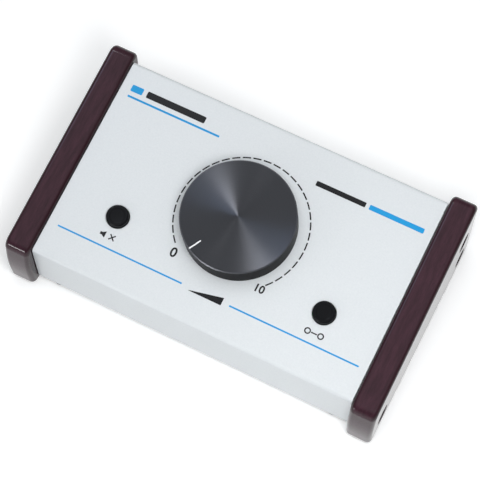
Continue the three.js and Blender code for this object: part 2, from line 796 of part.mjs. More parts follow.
function addControlBoard(panel) {
  add(panel, 'control_board', controlBoard(), finish.laminate);
  for (const { name, sign } of sides) {
    const x = sign * pillarSpacing / 2;
    add(panel, `${name}_board_pillar`, pillar(), finish.brightSteel).position.set(x, pillarY, 0);
    const screw = panScrew(boardScrewRadius, boardScrewHeadRadius, boardScrewHeadHeight, boardScrewLength);
    const mesh = add(panel, `${name}_board_screw`, screw, finish.brightSteel);
    mesh.rotation.x = Math.PI;
    mesh.position.set(x, pillarY, boardTop - boardThickness - seatGap);
  }
}

// Where the tops of the two headers are, seen from the side of the controller.
const controlHeaderTop = new THREE.Vector3(0, ribbonFrontY, boardTop + headerHeight).applyMatrix4(onPanel);
const connectorHeaderY = bodyDepth / 2 + connectorBoardBack - headerDepth / 2;

function connectorBoard() {
  const width = socketPitchOuter + 2 * (tubeRadius + connectorBoardMargin);
  const plate = block(width, connectorBoardHeight, connectorBoardBack, connectorBoardFace);
  const topEdge = controlHeaderTop.z - socketHeight;
  const socket = block(ribbonWidth + 2 * headerMargin, headerHeight, connectorBoardBack - headerDepth,
    connectorBoardFace);
  return join(plate, socket.translate(ribbonX, headerHeight / 2 - topEdge, 0));
}

// A flat cable that leaves one header upwards, bends over and enters the other one downwards.
function ribbonCable() {
  const middle = (controlHeaderTop.y + connectorHeaderY) / 2;
  const outer = (connectorHeaderY - controlHeaderTop.y + ribbonThickness) / 2;
  const inner = outer - ribbonThickness;
  const base = controlHeaderTop.z + fitGap;
  const shape = new THREE.Shape();
  shape.moveTo(middle + inner, base);
  shape.lineTo(middle + outer, base);
  shape.absarc(middle, base + ribbonRise, outer, 0, Math.PI, false);
  shape.lineTo(middle - outer, base);
  shape.lineTo(middle - inner, base);
  shape.absarc(middle, base + ribbonRise, inner, Math.PI, 0, true);
  const start = ribbonX - ribbonWidth / 2;
  return turnAcross(upright(shape, start, start + ribbonWidth, bendSteps));
}

// Rear sockets

function socketShell(male) {
  const faceTop = seatGap + flangeThickness;
  const outline = roundedOutline(rectangleCorners(flangeWidth, flangeHeight), flangeCorner);
  outline.holes.push(roundHole((boreRadius + tubeRadius) / 2));
  const flange = upright(outline, seatGap, faceTop, socketSteps / 4);
  const tube = revolve([
    [boreRadius, -tubeDepth], [tubeRadius, -tubeDepth], [tubeRadius, faceTop],
    [boreRadius + boreChamfer, faceTop], [boreRadius, faceTop - boreChamfer], [boreRadius, -tubeDepth],
  ], socketSteps);
  const tools = flangeScrewPlaces.map(({ x, y }) => {
    const seat = countersunkScrew(flangeScrewRadius, flangeScrewHeadRadius, flangeScrewHeadHeight,
      flangeScrewLength, fitGap);
    return seat.translate(x, y, faceTop);
  });
  if (male) {
    const notchBottom = faceTop - latchNotchLength;
    const notch = block(latchNotchWidth, 2 * latchNotchDepth, notchBottom, faceTop + overrun);
    tools.push(notch.translate(0, -boreRadius, 0));
  }
  return cut(join(flange, tube), ...tools);
}

// Three contacts a third of a turn apart, two above and one below.
function contactPlaces() {
  return [0, 1, 2].map((index) => {
    const angle = Math.PI / 2 + index * 2 * Math.PI / 3;
    return { x: contactCircle * Math.cos(angle), y: contactCircle * Math.sin(angle) };
  });
}

function inputContacts() {
  const faceTop = seatGap + flangeThickness;
  const front = faceTop - noseRecess;
  const base = boreRadius - fitGap;
  const step = insertBase - tubeDepth;
  const insert = revolve([
    [0, -tubeDepth], [base, -tubeDepth], [base, step], [noseRadius, step],
    [noseRadius, front - boreChamfer], [noseRadius - boreChamfer, front], [jackBoreRadius, front],
    [jackBoreRadius, front - jackBoreDepth], [0, front - jackBoreDepth],
  ], socketSteps);
  const holes = contactPlaces().map(({ x, y }) => (
    drum(contactHoleRadius, front - contactHoleDepth, front + overrun, smallSteps).translate(x, y, 0)));
  return cut(insert, ...holes);
}

function outputPins() {
  const tip = seatGap + flangeThickness - pinRecess;
  const foot = tip - pinLength;
  const base = drum(boreRadius - fitGap, -tubeDepth, foot, socketSteps);
  const pins = contactPlaces().map(({ x, y }) => revolve([
    [0, foot - overrun], [pinRadius, foot - overrun], [pinRadius, tip - pinTip],
    [pinRadius - pinTip, tip], [0, tip],
  ], smallSteps).translate(x, y, 0));
  return join(base, ...pins);
}

function miniJack() {
  const caseTop = -(sheetThickness + seatGap);
  const casing = block(miniCaseWidth, miniCaseHeight, caseTop - miniCaseDepth, caseTop);
  const barrel = drum(miniBarrelRadius, caseTop - sheetThickness, miniBarrelLength, holeSteps);
  const bore = drum(miniBoreRadius, miniBarrelLength - miniBoreDepth, miniBarrelLength + overrun, holeSteps);
  return cut(join(casing, barrel), bore);
}

function miniJackNut() {
  const inner = miniBarrelRadius + runGap;
  const top = seatGap + miniNutThickness;
  return revolve([
    [inner, seatGap], [miniNutRadius, seatGap], [miniNutRadius, top - miniNutChamfer],
    [miniNutRadius - miniNutChamfer, top], [inner, top], [inner, seatGap],
  ], holeSteps);
}

function addSocket(rear, { name, x, male }) {
  const socket = new THREE.Group();
  socket.position.x = x;
  rear.add(socket);
  add(socket, `${name}_shell`, socketShell(male), finish.socketPlastic);
  if (male) add(socket, `${name}_pins`, outputPins(), finish.silverContact);
  else add(socket, `${name}_contacts`, inputContacts(), finish.socketPlastic);
  for (const place of flangeScrewPlaces) {
    const screw = countersunkScrew(flangeScrewRadius, flangeScrewHeadRadius, flangeScrewHeadHeight,
      flangeScrewLength, 0);
    const mesh = add(socket, `${name}_screw_${place.name}`, screw, finish.blackSteel);
    mesh.position.set(place.x, place.y, seatGap + flangeThickness);
  }
}

function addRear(controller) {
  const rear = new THREE.Group();
  rear.applyMatrix4(onRear);
  controller.add(rear);
  for (const socket of sockets) addSocket(rear, socket);
  add(rear, 'mini_jack', miniJack(), finish.socketPlastic);
  add(rear, 'mini_jack_nut', miniJackNut(), finish.brightSteel);
  add(rear, 'connector_board', connectorBoard(), finish.laminate);
}

function addPanel(controller) {
  const panel = new THREE.Group();
  panel.applyMatrix4(onPanel);
  controller.add(panel);
  addVolume(panel);
  addButtons(panel);
  addControlBoard(panel);
}

const controller = new THREE.Group();
add(controller, 'body_shell', bodyShell(), finish.paint);
add(controller, 'bottom_tray', bottomTray(), finish.zinc);
addCheeks(controller);
addFeet(controller);
addPanel(controller);
addRear(controller);
add(controller, 'ribbon_cable', ribbonCable(), finish.ribbon);

export default controller;
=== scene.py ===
"""Finished surfaces of a desktop monitor controller.

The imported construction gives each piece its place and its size. This script models the surfaces that
show, gives every piece the finish of its real material and lights the whole as a catalogue picture.

Lengths are in millimetres, in the frame of the face that carries the piece, until a finished mesh is
settled in the controller's own frame, which is in metres.
"""

from __future__ import annotations

import functools
import logging
import math
from collections.abc import Callable, Iterable, Iterator, Sequence
from contextlib import contextmanager
from dataclasses import dataclass, field
from enum import Enum, IntEnum
from typing import Any

import bmesh
import bpy
from mathutils import Matrix, Vector

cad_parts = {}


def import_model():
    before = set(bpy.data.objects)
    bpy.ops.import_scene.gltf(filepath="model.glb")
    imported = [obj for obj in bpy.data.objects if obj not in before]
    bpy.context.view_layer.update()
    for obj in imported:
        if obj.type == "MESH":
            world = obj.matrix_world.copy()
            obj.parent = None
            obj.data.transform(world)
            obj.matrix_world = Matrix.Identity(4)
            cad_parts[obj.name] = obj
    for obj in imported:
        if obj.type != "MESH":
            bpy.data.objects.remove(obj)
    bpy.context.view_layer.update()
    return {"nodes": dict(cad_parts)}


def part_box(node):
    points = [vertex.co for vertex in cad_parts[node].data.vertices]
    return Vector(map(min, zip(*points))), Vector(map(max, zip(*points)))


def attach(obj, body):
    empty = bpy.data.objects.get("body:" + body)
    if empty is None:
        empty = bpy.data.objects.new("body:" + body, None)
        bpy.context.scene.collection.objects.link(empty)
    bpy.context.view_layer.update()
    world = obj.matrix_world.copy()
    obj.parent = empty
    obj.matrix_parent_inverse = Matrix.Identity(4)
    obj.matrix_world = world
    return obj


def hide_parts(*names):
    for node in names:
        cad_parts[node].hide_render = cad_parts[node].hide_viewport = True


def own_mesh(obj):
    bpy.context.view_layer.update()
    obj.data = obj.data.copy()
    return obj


log = logging.getLogger("controller")

MM = 0.001  # one millimetre in metres
TURN = 2 * math.pi
QUARTER = math.pi / 2
OVERRUN = 1.0  # how far a cutter passes the faces that it opens
MERGE = 1e-4  # vertices closer than this are one
SLIVER = 0.002  # what a cut leaves narrower than this is cleared away
WAVE_RADIANS = 20.0  # what the wave texture turns through over one unit of its scale
SIDES = {"left": -1, "right": 1}
FOOT_NAMES = ("front_left", "front_right", "rear_left", "rear_right")
CHEEK_SCREW_NAMES = ("front", "rear_lower", "rear_upper")
SOCKET_NAMES = ("input_left", "input_right", "output_left", "output_right")
FLANGE_SCREW_NAMES = ("upper", "lower")


class Body(str, Enum):
    """The bodies that the pieces ride on."""

    HOUSING = "body"
    VOLUME = "volume"
    LEFT_BUTTON = "left_button"
    RIGHT_BUTTON = "right_button"


class Slot(str, Enum):
    """The record's material slots."""

    PAINT = "silver_paint"
    ZINC = "zinc_steel"
    WOOD = "lacquered_wood"
    RUBBER = "foot_rubber"
    ANODISED = "black_anodised"
    WHITE_FILL = "white_fill"
    BLACK_INK = "black_ink"
    BLUE_INK = "blue_ink"
    BLACK_STEEL = "black_steel"
    BRIGHT_STEEL = "bright_steel"
    CONTACT = "contact_silver"
    BUTTON = "button_plastic"
    SOCKET = "socket_plastic"
    SWITCH = "switch_plastic"
    LAMINATE = "circuit_laminate"
    RIBBON = "ribbon_grey"


class Steps(IntEnum):
    """How many steps make the full turn of a round form, from the smallest form to the largest."""

    HIDDEN_HOLE = 24
    SMALL_HOLE = 32
    SCREW = 40
    HOLE = 48
    BARREL = 64
    SOCKET = 96
    KNOB = 160


# Colours and shader nodes


def linear(code: str) -> tuple[float, float, float, float]:
    """Turns an sRGB hex colour into the linear colour that a shader takes.

    Args:
        code: The colour, such as "#3c3c40".

    Returns:
        Red, green, blue and an alpha of one.
    """
    shares = [int(code[start : start + 2], 16) / 255 for start in (1, 3, 5)]
    red, green, blue = (s / 12.92 if s <= 0.04045 else ((s + 0.055) / 1.055) ** 2.4 for s in shares)
    return red, green, blue, 1.0


def add_node(
    tree: bpy.types.NodeTree, kind: str, sockets: dict[str | int, Any] | None = None, **settings: Any
) -> bpy.types.Node:
    """Adds one node with its settings, values and links.

    Args:
        tree: The node tree that takes the node.
        kind: Blender's name for the node.
        sockets: For an input's name or number, the value that it holds or the output that feeds it.
        **settings: The node's own properties.

    Returns:
        The node.
    """
    node = tree.nodes.new(kind)
    for name, value in settings.items():
        setattr(node, name, value)
    for key, value in (sockets or {}).items():
        if isinstance(value, bpy.types.NodeSocket):
            tree.links.new(value, node.inputs[key])
        else:
            node.inputs[key].default_value = value
    return node


def per_metre(feature: float) -> float:
    """Gives the texture scale at which a pattern's features measure so many millimetres."""
    return 1 / (feature * MM)


# Finishes


@dataclass(frozen=True)
class Finish:
    """A material and how its surface was made.

    The shader's constant values stand on its own sockets. A subclass adds the pattern.
    """

    name: str
    colour: str
    roughness: float
    metallic: float = field(default=0.0, kw_only=True)
    ior: float = field(default=1.5, kw_only=True)
    specular: float = field(default=0.5, kw_only=True)

    def make(self) -> bpy.types.Material:
        """Builds the material.

        Returns:
            The material, ready to be put on a piece.
        """
        material = bpy.data.materials.new(self.name)
        material.use_nodes = True
        tree = material.node_tree
        shader = tree.nodes["Principled BSDF"]
        shader.inputs["Base Color"].default_value = linear(self.colour)
        shader.inputs["Roughness"].default_value = self.roughness
        shader.inputs["Metallic"].default_value = self.metallic
        shader.inputs["IOR"].default_value = self.ior
        shader.inputs["Specular IOR Level"].default_value = self.specular
        place = add_node(tree, "ShaderNodeTexCoord").outputs["Object"]
        self.dress(tree, shader, place)
        return material

    def dress(self, tree: bpy.types.NodeTree, shader: bpy.types.Node, place: bpy.types.NodeSocket) -> None:
        """Adds the pattern of the surface to the plain shader.

        Args:
            tree: The material's node tree.
            shader: Its principled shader.
            place: The point on the piece, in metres.
        """


@dataclass(frozen=True)
class Grained(Finish):
    """A surface with one fine grain in its colour, its gloss and its relief, such as a moulded one."""

    second_colour: str
    grain: float
    relief: float
    gloss_spread: float = 0.08
    detail: float = 2.0

    def dress(self, tree: bpy.types.NodeTree, shader: bpy.types.Node, place: bpy.types.NodeSocket) -> None:
        """Adds the grain.

        Args:
            tree: The material's node tree.
            shader: Its principled shader.
            place: The point on the piece, in metres.
        """
        noise = {"Vector": place, "Scale": per_metre(self.grain), "Detail": self.detail}
        grain = add_node(tree, "ShaderNodeTexNoise", noise).outputs["Fac"]
        colours = {0: grain, 6: linear(self.colour), 7: linear(self.second_colour)}
        colour = add_node(tree, "ShaderNodeMix", colours, data_type="RGBA")
        smooth = self.roughness - self.gloss_spread
        rough = self.roughness + self.gloss_spread
        gloss = add_node(tree, "ShaderNodeMapRange", {"Value": grain, "To Min": smooth, "To Max": rough})
        relief = {"Height": grain, "Distance": self.relief * MM, "Strength": 1.0}
        bump = add_node(tree, "ShaderNodeBump", relief)
        tree.links.new(colour.outputs[2], shader.inputs["Base Color"])
        tree.links.new(gloss.outputs["Result"], shader.inputs["Roughness"])
        tree.links.new(bump.outputs["Normal"], shader.inputs["Normal"])


@dataclass(frozen=True)
class Fibres:
    """Long marks in wood: their size, between which levels of a noise they show, and how strongly."""

    width: float
    length: float
    low: float
    high: float
    strength: float
    detail: float
    roughness: float


@dataclass(frozen=True)
class LacqueredWood(Finish):
    """Stained close-grained wood under clear gloss lacquer.

    The stain is dark brown with a red cast, redder on the rounded edges, where it gathered, and
    painted darker there as painted shade. The lacquer mirrors what stands round the piece.
    """

    streak_colour: str = "#2c171f"
    # redder from the stain and darker as painted shade, on the rounded edges
    edge_stain_and_shade_colour: str = "#210a0f"
    streaks: Fibres = Fibres(1.6, 30.0, low=0.3, high=0.75, strength=1.0, detail=4.0, roughness=0.62)
    pores: Fibres = Fibres(0.3, 3.0, low=0.55, high=0.75, strength=0.4, detail=1.0, roughness=0.5)
    cheek_middle: float = 78.7
    flat_half: float = 3.4
    round_half: float = 5.7
    edge_stain_and_shade_strength: float = 0.8
    lacquer_wave: float = 9.0
    lacquer_relief: float = 0.0015
    lacquer_roughness: float = 0.1
    lacquer_ior: float = 1.38

    def dress(self, tree: bpy.types.NodeTree, shader: bpy.types.Node, place: bpy.types.NodeSocket) -> None:
        """Adds the grain, the pores, the red edges with their painted shade, and the lacquer.

        Args:
            tree: The material's node tree.
            shader: Its principled shader.
            place: The point on the piece, in metres.
        """
        stained = self.stain(tree, place)
        # towards a darker red at the edges: partly stain, partly painted shade
        colours = {0: self.edge_stain_and_shade_share(tree, place), 6: stained, 7: linear(self.edge_stain_and_shade_colour)}
        colour = add_node(tree, "ShaderNodeMix", colours, data_type="RGBA").outputs[2]
        noise = {"Vector": place, "Scale": per_metre(self.lacquer_wave), "Detail": 1.0}
        wave = add_node(tree, "ShaderNodeTexNoise", noise).outputs["Fac"]
        relief = {"Height": wave, "Distance": self.lacquer_relief * MM, "Strength": 1.0}
        bump = add_node(tree, "ShaderNodeBump", relief)
        shader.inputs["Coat Weight"].default_value = 1.0
        shader.inputs["Coat Roughness"].default_value = self.lacquer_roughness
        shader.inputs["Coat IOR"].default_value = self.lacquer_ior
        tree.links.new(colour, shader.inputs["Base Color"])
        tree.links.new(bump.outputs["Normal"], shader.inputs["Normal"])

    def stain(self, tree: bpy.types.NodeTree, place: bpy.types.NodeSocket) -> bpy.types.NodeSocket:
        """Colours the wood, with long streaks and short dark pores.

        Args:
            tree: The material's node tree.
            place: The point on the piece, in metres.

        Returns:
            The colour.
        """
        colour: Any = linear(self.colour)
        for marks in (self.streaks, self.pores):
            across = per_metre(marks.width)
            along = per_metre(marks.length)
            stretch = {"Vector": place, "Scale": (across, along, across)}
            stretched = add_node(tree, "ShaderNodeMapping", stretch).outputs["Vector"]
            texture = {"Detail": marks.detail, "Roughness": marks.roughness}
            noise = {"Vector": stretched, "Scale": 1.0, **texture}
            fibres = add_node(tree, "ShaderNodeTexNoise", noise).outputs["Fac"]
            levels = {"From Min": marks.low, "From Max": marks.high, "To Max": marks.strength}
            share = add_node(tree, "ShaderNodeMapRange", {"Value": fibres, **levels}).outputs["Result"]
            colours = {0: share, 6: colour, 7: linear(self.streak_colour)}
            colour = add_node(tree, "ShaderNodeMix", colours, data_type="RGBA").outputs[2]
        return colour

    def edge_stain_and_shade_share(self, tree: bpy.types.NodeTree, place: bpy.types.NodeSocket) -> bpy.types.NodeSocket:
        """Says how near a point is to the long edges of its cheek, which take stain and painted shade.

        Args:
            tree: The material's node tree.
            place: The point on the piece, in metres.

        Returns:
            Zero on the flat, and the strength of the edges' stain and painted shade at the edge.
        """
        sideways = add_node(tree, "ShaderNodeSeparateXYZ", {0: place}).outputs["X"]
        from_centre = add_node(tree, "ShaderNodeMath", {0: sideways}, operation="ABSOLUTE").outputs[0]
        middle = {0: from_centre, 1: self.cheek_middle * MM}
        from_middle = add_node(tree, "ShaderNodeMath", middle, operation="SUBTRACT").outputs[0]
        to_edge = add_node(tree, "ShaderNodeMath", {0: from_middle}, operation="ABSOLUTE").outputs[0]
        limits = {
            "Value": to_edge,
            "From Min": self.flat_half * MM,
            "From Max": self.round_half * MM,
            "To Max": self.edge_stain_and_shade_strength,
        }
        return add_node(tree, "ShaderNodeMapRange", limits, interpolation_type="SMOOTHSTEP").outputs["Result"]


@dataclass(frozen=True)
class SpunMetal(Finish):
    """Aluminium faced on a lathe and anodised.

    Fine rings round the axis stretch each reflection outwards, so the face shows bright wedges that
    meet in the middle. The rings lean out near the middle and in near the rim, as the lathe tool
    leaves them, so one wedge is the brighter one in the middle.
    """

    centre: tuple[float, float, float]
    axis: tuple[float, float, float]
    radius: float
    ring_pitch: float = 0.22
    ring_contrast: float = 0.12
    stretch: float = 0.96
    middle_lean: float = -0.2
    rim_lean: float = 0.12

    def dress(self, tree: bpy.types.NodeTree, shader: bpy.types.Node, place: bpy.types.NodeSocket) -> None:
        """Adds the rings and the direction in which they spread the light.

        Args:
            tree: The material's node tree.
            shader: Its principled shader.
            place: The point on the piece, in metres.
        """
        vector = "ShaderNodeVectorMath"
        middle = tuple(part * MM for part in self.centre)
        offset = add_node(tree, vector, {0: place, 1: middle}, operation="SUBTRACT").outputs[0]
        along = add_node(tree, vector, {0: offset, 1: self.axis}, operation="CROSS_PRODUCT").outputs[0]
        radius = add_node(tree, vector, {0: along}, operation="LENGTH").outputs["Value"]
        outwards = add_node(tree, vector, {0: self.axis, 1: along}, operation="CROSS_PRODUCT").outputs[0]
        unit = add_node(tree, vector, {0: outwards}, operation="NORMALIZE").outputs[0]
        spaces = {"vector_type": "VECTOR", "convert_from": "OBJECT", "convert_to": "WORLD"}
        world = add_node(tree, "ShaderNodeVectorTransform", {0: unit}, **spaces).outputs[0]
        leans = {"To Min": -self.middle_lean, "To Max": -self.rim_lean}
        lean = add_node(tree, "ShaderNodeMapRange", {"Value": radius, "From Max": self.radius * MM, **leans})
        inwards = {0: world, "Scale": lean.outputs["Result"]}
        tilt = add_node(tree, vector, inwards, operation="SCALE").outputs[0]
        normal = add_node(tree, "ShaderNodeNewGeometry").outputs["Normal"]
        leaning = add_node(tree, vector, {0: normal, 1: tilt}, operation="ADD").outputs[0]
        noise = {"W": radius, "Scale": per_metre(self.ring_pitch), "Detail": 2.0}
        rings = add_node(tree, "ShaderNodeTexNoise", noise, noise_dimensions="1D").outputs["Fac"]
        dark = tuple(part * (1 - self.ring_contrast) for part in linear(self.colour)[:3])
        pale = tuple(part * (1 + self.ring_contrast) for part in linear(self.colour)[:3])
        colours = {0: rings, 6: (*dark, 1.0), 7: (*pale, 1.0)}
        colour = add_node(tree, "ShaderNodeMix", colours, data_type="RGBA")
        shader.inputs["Anisotropic"].default_value = self.stretch
        tree.links.new(colour.outputs[2], shader.inputs["Base Color"])
        tree.links.new(leaning, shader.inputs["Normal"])
        tree.links.new(world, shader.inputs["Tangent"])


@dataclass(frozen=True)
class SolderMask(Finish):
    """Green solder mask over copper tracks on glass-epoxy board: the tracks show as a paler, raised net."""

    track_colour: str = "#2f7a46"
    track_pitch: float = 2.54
    track_range: tuple[float, float] = (0.08, 0.14)
    track_height: float = 0.02

    def dress(self, tree: bpy.types.NodeTree, shader: bpy.types.Node, place: bpy.types.NodeSocket) -> None:
        """Adds the tracks.

        Args:
            tree: The material's node tree.
            shader: Its principled shader.
            place: The point on the piece, in metres.
        """
        net = {"distance": "CHEBYCHEV", "feature": "DISTANCE_TO_EDGE"}
        cells = {"Vector": place, "Scale": per_metre(self.track_pitch)}
        tracks = add_node(tree, "ShaderNodeTexVoronoi", cells, **net).outputs["Distance"]
        low, high = self.track_range
        limits = {"Value": tracks, "From Min": low, "From Max": high}
        between = add_node(tree, "ShaderNodeMapRange", limits).outputs["Result"]
        colours = {0: between, 6: linear(self.track_colour), 7: linear(self.colour)}
        colour = add_node(tree, "ShaderNodeMix", colours, data_type="RGBA")
        relief = {"Height": between, "Distance": self.track_height * MM, "Strength": 1.0}
        bump = add_node(tree, "ShaderNodeBump", relief, invert=True)
        tree.links.new(colour.outputs[2], shader.inputs["Base Color"])
        tree.links.new(bump.outputs["Normal"], shader.inputs["Normal"])


@dataclass(frozen=True)
class RibbonCable(Finish):
    """Flat PVC cable: parallel cores side by side, each a shallow ridge, with painted shade between them."""

    # the grooves between the cores are painted darker: painted shade
    groove_shade_colour: str = "#6d7072"
    core_pitch: float = 1.27
    ridge: float = 0.3

    def dress(self, tree: bpy.types.NodeTree, shader: bpy.types.Node, place: bpy.types.NodeSocket) -> None:
        """Adds the cores, which lie side by side across the controller, and paints shade in the grooves.

        Args:
            tree: The material's node tree.
            shader: Its principled shader.
            place: The point on the piece, in metres.
        """
        bands = {"wave_type": "BANDS", "bands_direction": "X"}
        wave = {"Vector": place, "Scale": TURN / (WAVE_RADIANS * self.core_pitch * MM)}
        cores = add_node(tree, "ShaderNodeTexWave", wave, **bands).outputs["Fac"]
        # darker between the cores: painted shade
        colours = {0: cores, 6: linear(self.groove_shade_colour), 7: linear(self.colour)}
        colour = add_node(tree, "ShaderNodeMix", colours, data_type="RGBA")
        relief = {"Height": cores, "Distance": self.ridge * MM, "Strength": 1.0}
        bump = add_node(tree, "ShaderNodeBump", relief)
        tree.links.new(colour.outputs[2], shader.inputs["Base Color"])
        tree.links.new(bump.outputs["Normal"], shader.inputs["Normal"])


# Powder coat cured to a satin silver-white: close to white, with a fine orange peel.
POWDER_COAT = Grained("powder_coat_silver_white", "#d2d7da", 0.3, "#dde1e3", 0.7, 0.004, 0.05)
# Bright zinc plating on rolled steel: a cool grey metal with a soft bloom.
ZINC_PLATE = Grained("zinc_plated_sheet_steel", "#8f9599", 0.36, "#a9aeb1", 2.4, 0.006, metallic=1.0)
# Moulded rubber: matt and faintly dusty.
RUBBER = Grained("moulded_rubber", "#151516", 0.78, "#202021", 0.5, 0.02)
# Black-oxide steel: a thin dark skin that still reflects as metal.
BLACK_OXIDE = Grained("black_oxide_steel", "#2a2a2c", 0.36, "#38383b", 0.4, 0.004, metallic=1.0)
# Bright nickel over steel: a warm white metal.
NICKEL_PLATE = Grained("nickel_plated_steel", "#b9b6ae", 0.22, "#c6c4bd", 0.6, 0.002, 0.05, metallic=1.0)
# Silver-plated contacts: the palest metal here, slightly clouded by handling.
SILVER_PLATE = Grained("silver_plated_brass", "#d8d4c8", 0.16, "#c4bfae", 0.9, 0.001, 0.05, metallic=1.0)
# Satin black ABS, moulded in a finely eroded tool.
BUTTON_ABS = Grained(
    "satin_black_abs", "#0a0a0c", 0.34, "#101114", 0.22, 0.003, 0.06, ior=1.53, specular=0.12
)
# Glass-filled nylon: black, with a dry sheen from the fibres near the surface.
NYLON = Grained("glass_filled_nylon", "#131314", 0.46, "#1c1c1e", 0.4, 0.008, 0.1, ior=1.53)
# Dark grey polyester of small switch housings.
SWITCH_PBT = Grained("moulded_polyester", "#26282c", 0.5, "#303236", 0.5, 0.006, ior=1.55)
# Screen inks: a matt film, a little uneven where the mesh of the screen left it thinner.
BLACK_INK = Grained("black_screen_ink", "#0c0c0e", 0.5, "#161618", 0.3, 0.002, 0.06, specular=0.3)
BLUE_INK = Grained("blue_screen_ink", "#0f8fd0", 0.45, "#259fda", 0.3, 0.002, 0.06, specular=0.2)
# White enamel wiped into the pointer's groove.
WHITE_ENAMEL = Grained("white_enamel", "#f0f1f2", 0.4, "#e2e3e5", 0.4, 0.003, 0.06)
# Black anodised aluminium, turned: the knob's wall is nearly black, and its cut edge catches the light.
TURNED_WALL = Grained(
    "black_anodised_turned_aluminium", "#0e0e11", 0.3, "#131316", 0.3, 0.002, specular=0.01
)
CUT_EDGE = Grained("black_anodised_cut_edge", "#626368", 0.34, "#6c6d72", 0.3, 0.001, metallic=1.0)
# Stained and lacquered hardwood: the lacquer alone reflects, so the wood under it has no gloss.
CHEEK_WOOD = LacqueredWood("stained_lacquered_wood", "#40242f", 0.5, specular=0.0)
# Glass-epoxy board under green mask: satin.
SOLDER_MASK = SolderMask("solder_mask_on_laminate", "#17502c", 0.35)
# Extruded PVC: soft-edged ridges with a dull sheen, and painted shade in the grooves between them.
RIBBON_PVC = RibbonCable("grey_pvc_ribbon", "#a2a5a7", 0.55)


@functools.cache
def material_of(finish: Finish) -> bpy.types.Material:
    """Gives the one material of a finish, and makes it when it is first asked for."""
    return finish.make()


# Modelling


@dataclass(frozen=True)
class Corner:
    """A corner of an outline, with the radius that rounds it."""

    across: float
    up: float
    rounding: float = 0.0

    @property
    def point(self) -> Vector:
        """The corner as a point of the plane."""
        return Vector((self.across, self.up))


def follow(
    corners: Sequence[Corner], closed: bool = False, step: float = math.radians(11.25)
) -> list[Vector]:
    """Walks an outline and puts an arc in place of each rounded corner.

    Args:
        corners: The outline's corners, in order.
        closed: Whether the last corner leads back to the first.
        step: The angle between two points of an arc.

    Returns:
        The outline's points.
    """
    points: list[Vector] = []
    for index, corner in enumerate(corners):
        is_end = not closed and index in (0, len(corners) - 1)
        if is_end or corner.rounding == 0:
            points.append(corner.point)
            continue
        back = (corners[index - 1].point - corner.point).normalized()
        ahead = (corners[(index + 1) % len(corners)].point - corner.point).normalized()
        half = back.angle(ahead) / 2
        centre = corner.point + (back + ahead).normalized() * corner.rounding / math.sin(half)
        start = corner.point + back * corner.rounding / math.tan(half) - centre
        sweep = math.copysign(math.pi - 2 * half, back.cross(ahead) * -1)
        count = max(2, round(abs(sweep) / step))
        for part in range(count + 1):
            spoke = start.copy()
            spoke.rotate(Matrix.Rotation(sweep * part / count, 2))
            points.append(centre + spoke)
    return points


def activate(*pieces: bpy.types.Object) -> None:
    """Selects these pieces alone, with the first as the active one.

    Args:
        *pieces: The pieces.
    """
    bpy.ops.object.select_all(action="DESELECT")
    for piece in pieces:
        piece.select_set(True)
    bpy.context.view_layer.objects.active = pieces[0]


@contextmanager
def editing(piece: bpy.types.Object) -> Iterator[None]:
    """Opens a piece in edit mode, with nothing else selected, and closes it again.

    Args:
        piece: The piece.
    """
    activate(piece)
    bpy.ops.object.mode_set(mode="EDIT")
    yield
    bpy.ops.object.mode_set(mode="OBJECT")


def pick(piece: bpy.types.Object, domain: str, test: Callable[[Any], bool]) -> None:
    """Selects, in edit mode, the parts of a mesh that pass a test.

    Args:
        piece: The piece that is being edited.
        domain: "VERT", "EDGE" or "FACE".
        test: Says whether a part belongs to the selection.
    """
    bpy.ops.mesh.select_all(action="DESELECT")
    bpy.ops.mesh.select_mode(type=domain)
    mesh = bmesh.from_edit_mesh(piece.data)
    parts = {"VERT": mesh.verts, "EDGE": mesh.edges, "FACE": mesh.faces}[domain]
    for part in parts:
        if test(part):
            part.select_set(True)
    mesh.select_flush_mode()
    bmesh.update_edit_mesh(piece.data)


def trace(name: str, points: Sequence[Vector], filled: bool = False) -> bpy.types.Object:
    """Draws a line by extruding one vertex from point to point.

    Args:
        name: The piece's name.
        points: The line's points, in space.
        filled: Whether the line is closed by a face.

    Returns:
        The piece.
    """
    bpy.ops.object.select_all(action="DESELECT")
    bpy.ops.mesh.primitive_plane_add(size=1.0)
    piece = bpy.context.object
    piece.name = name
    piece.data.name = name
    with editing(piece):
        bpy.ops.mesh.select_mode(type="VERT")
        bpy.ops.mesh.select_all(action="SELECT")
        bpy.ops.mesh.merge(type="CENTER")
        bpy.ops.transform.translate(value=points[0])
        for here, there in zip(points, points[1:]):
            bpy.ops.mesh.extrude_region_move(TRANSFORM_OT_translate={"value": there - here})
        if filled:
            bpy.ops.mesh.select_all(action="SELECT")
            bpy.ops.mesh.edge_face_add()
    return piece


def face_outwards(piece: bpy.types.Object) -> None:
    """Merges the vertices that meet and points the faces of a closed piece outwards.

    Args:
        piece: The piece.
    """
    with editing(piece):
        bpy.ops.mesh.select_all(action="SELECT")
        bpy.ops.mesh.remove_doubles(threshold=MERGE)
        bpy.ops.mesh.normals_make_consistent(inside=False)


def turned(name: str, corners: Sequence[Corner], steps: Steps) -> bpy.types.Object:
    """Spins an outline round +Z.

    Args:
        name: The piece's name.
        corners: The outline, as distances from the axis and heights. It starts and ends on the axis,
            or ends where it starts.
        steps: How many steps make the full turn.

    Returns:
        The piece.
    """
    piece = trace(name, [Vector((point.x, 0.0, point.y)) for point in follow(corners)])
    with editing(piece):
        bpy.ops.mesh.select_all(action="SELECT")
        bpy.ops.mesh.spin(steps=int(steps), angle=TURN, center=(0, 0, 0), axis=(0, 0, 1))
    face_outwards(piece)
    return piece


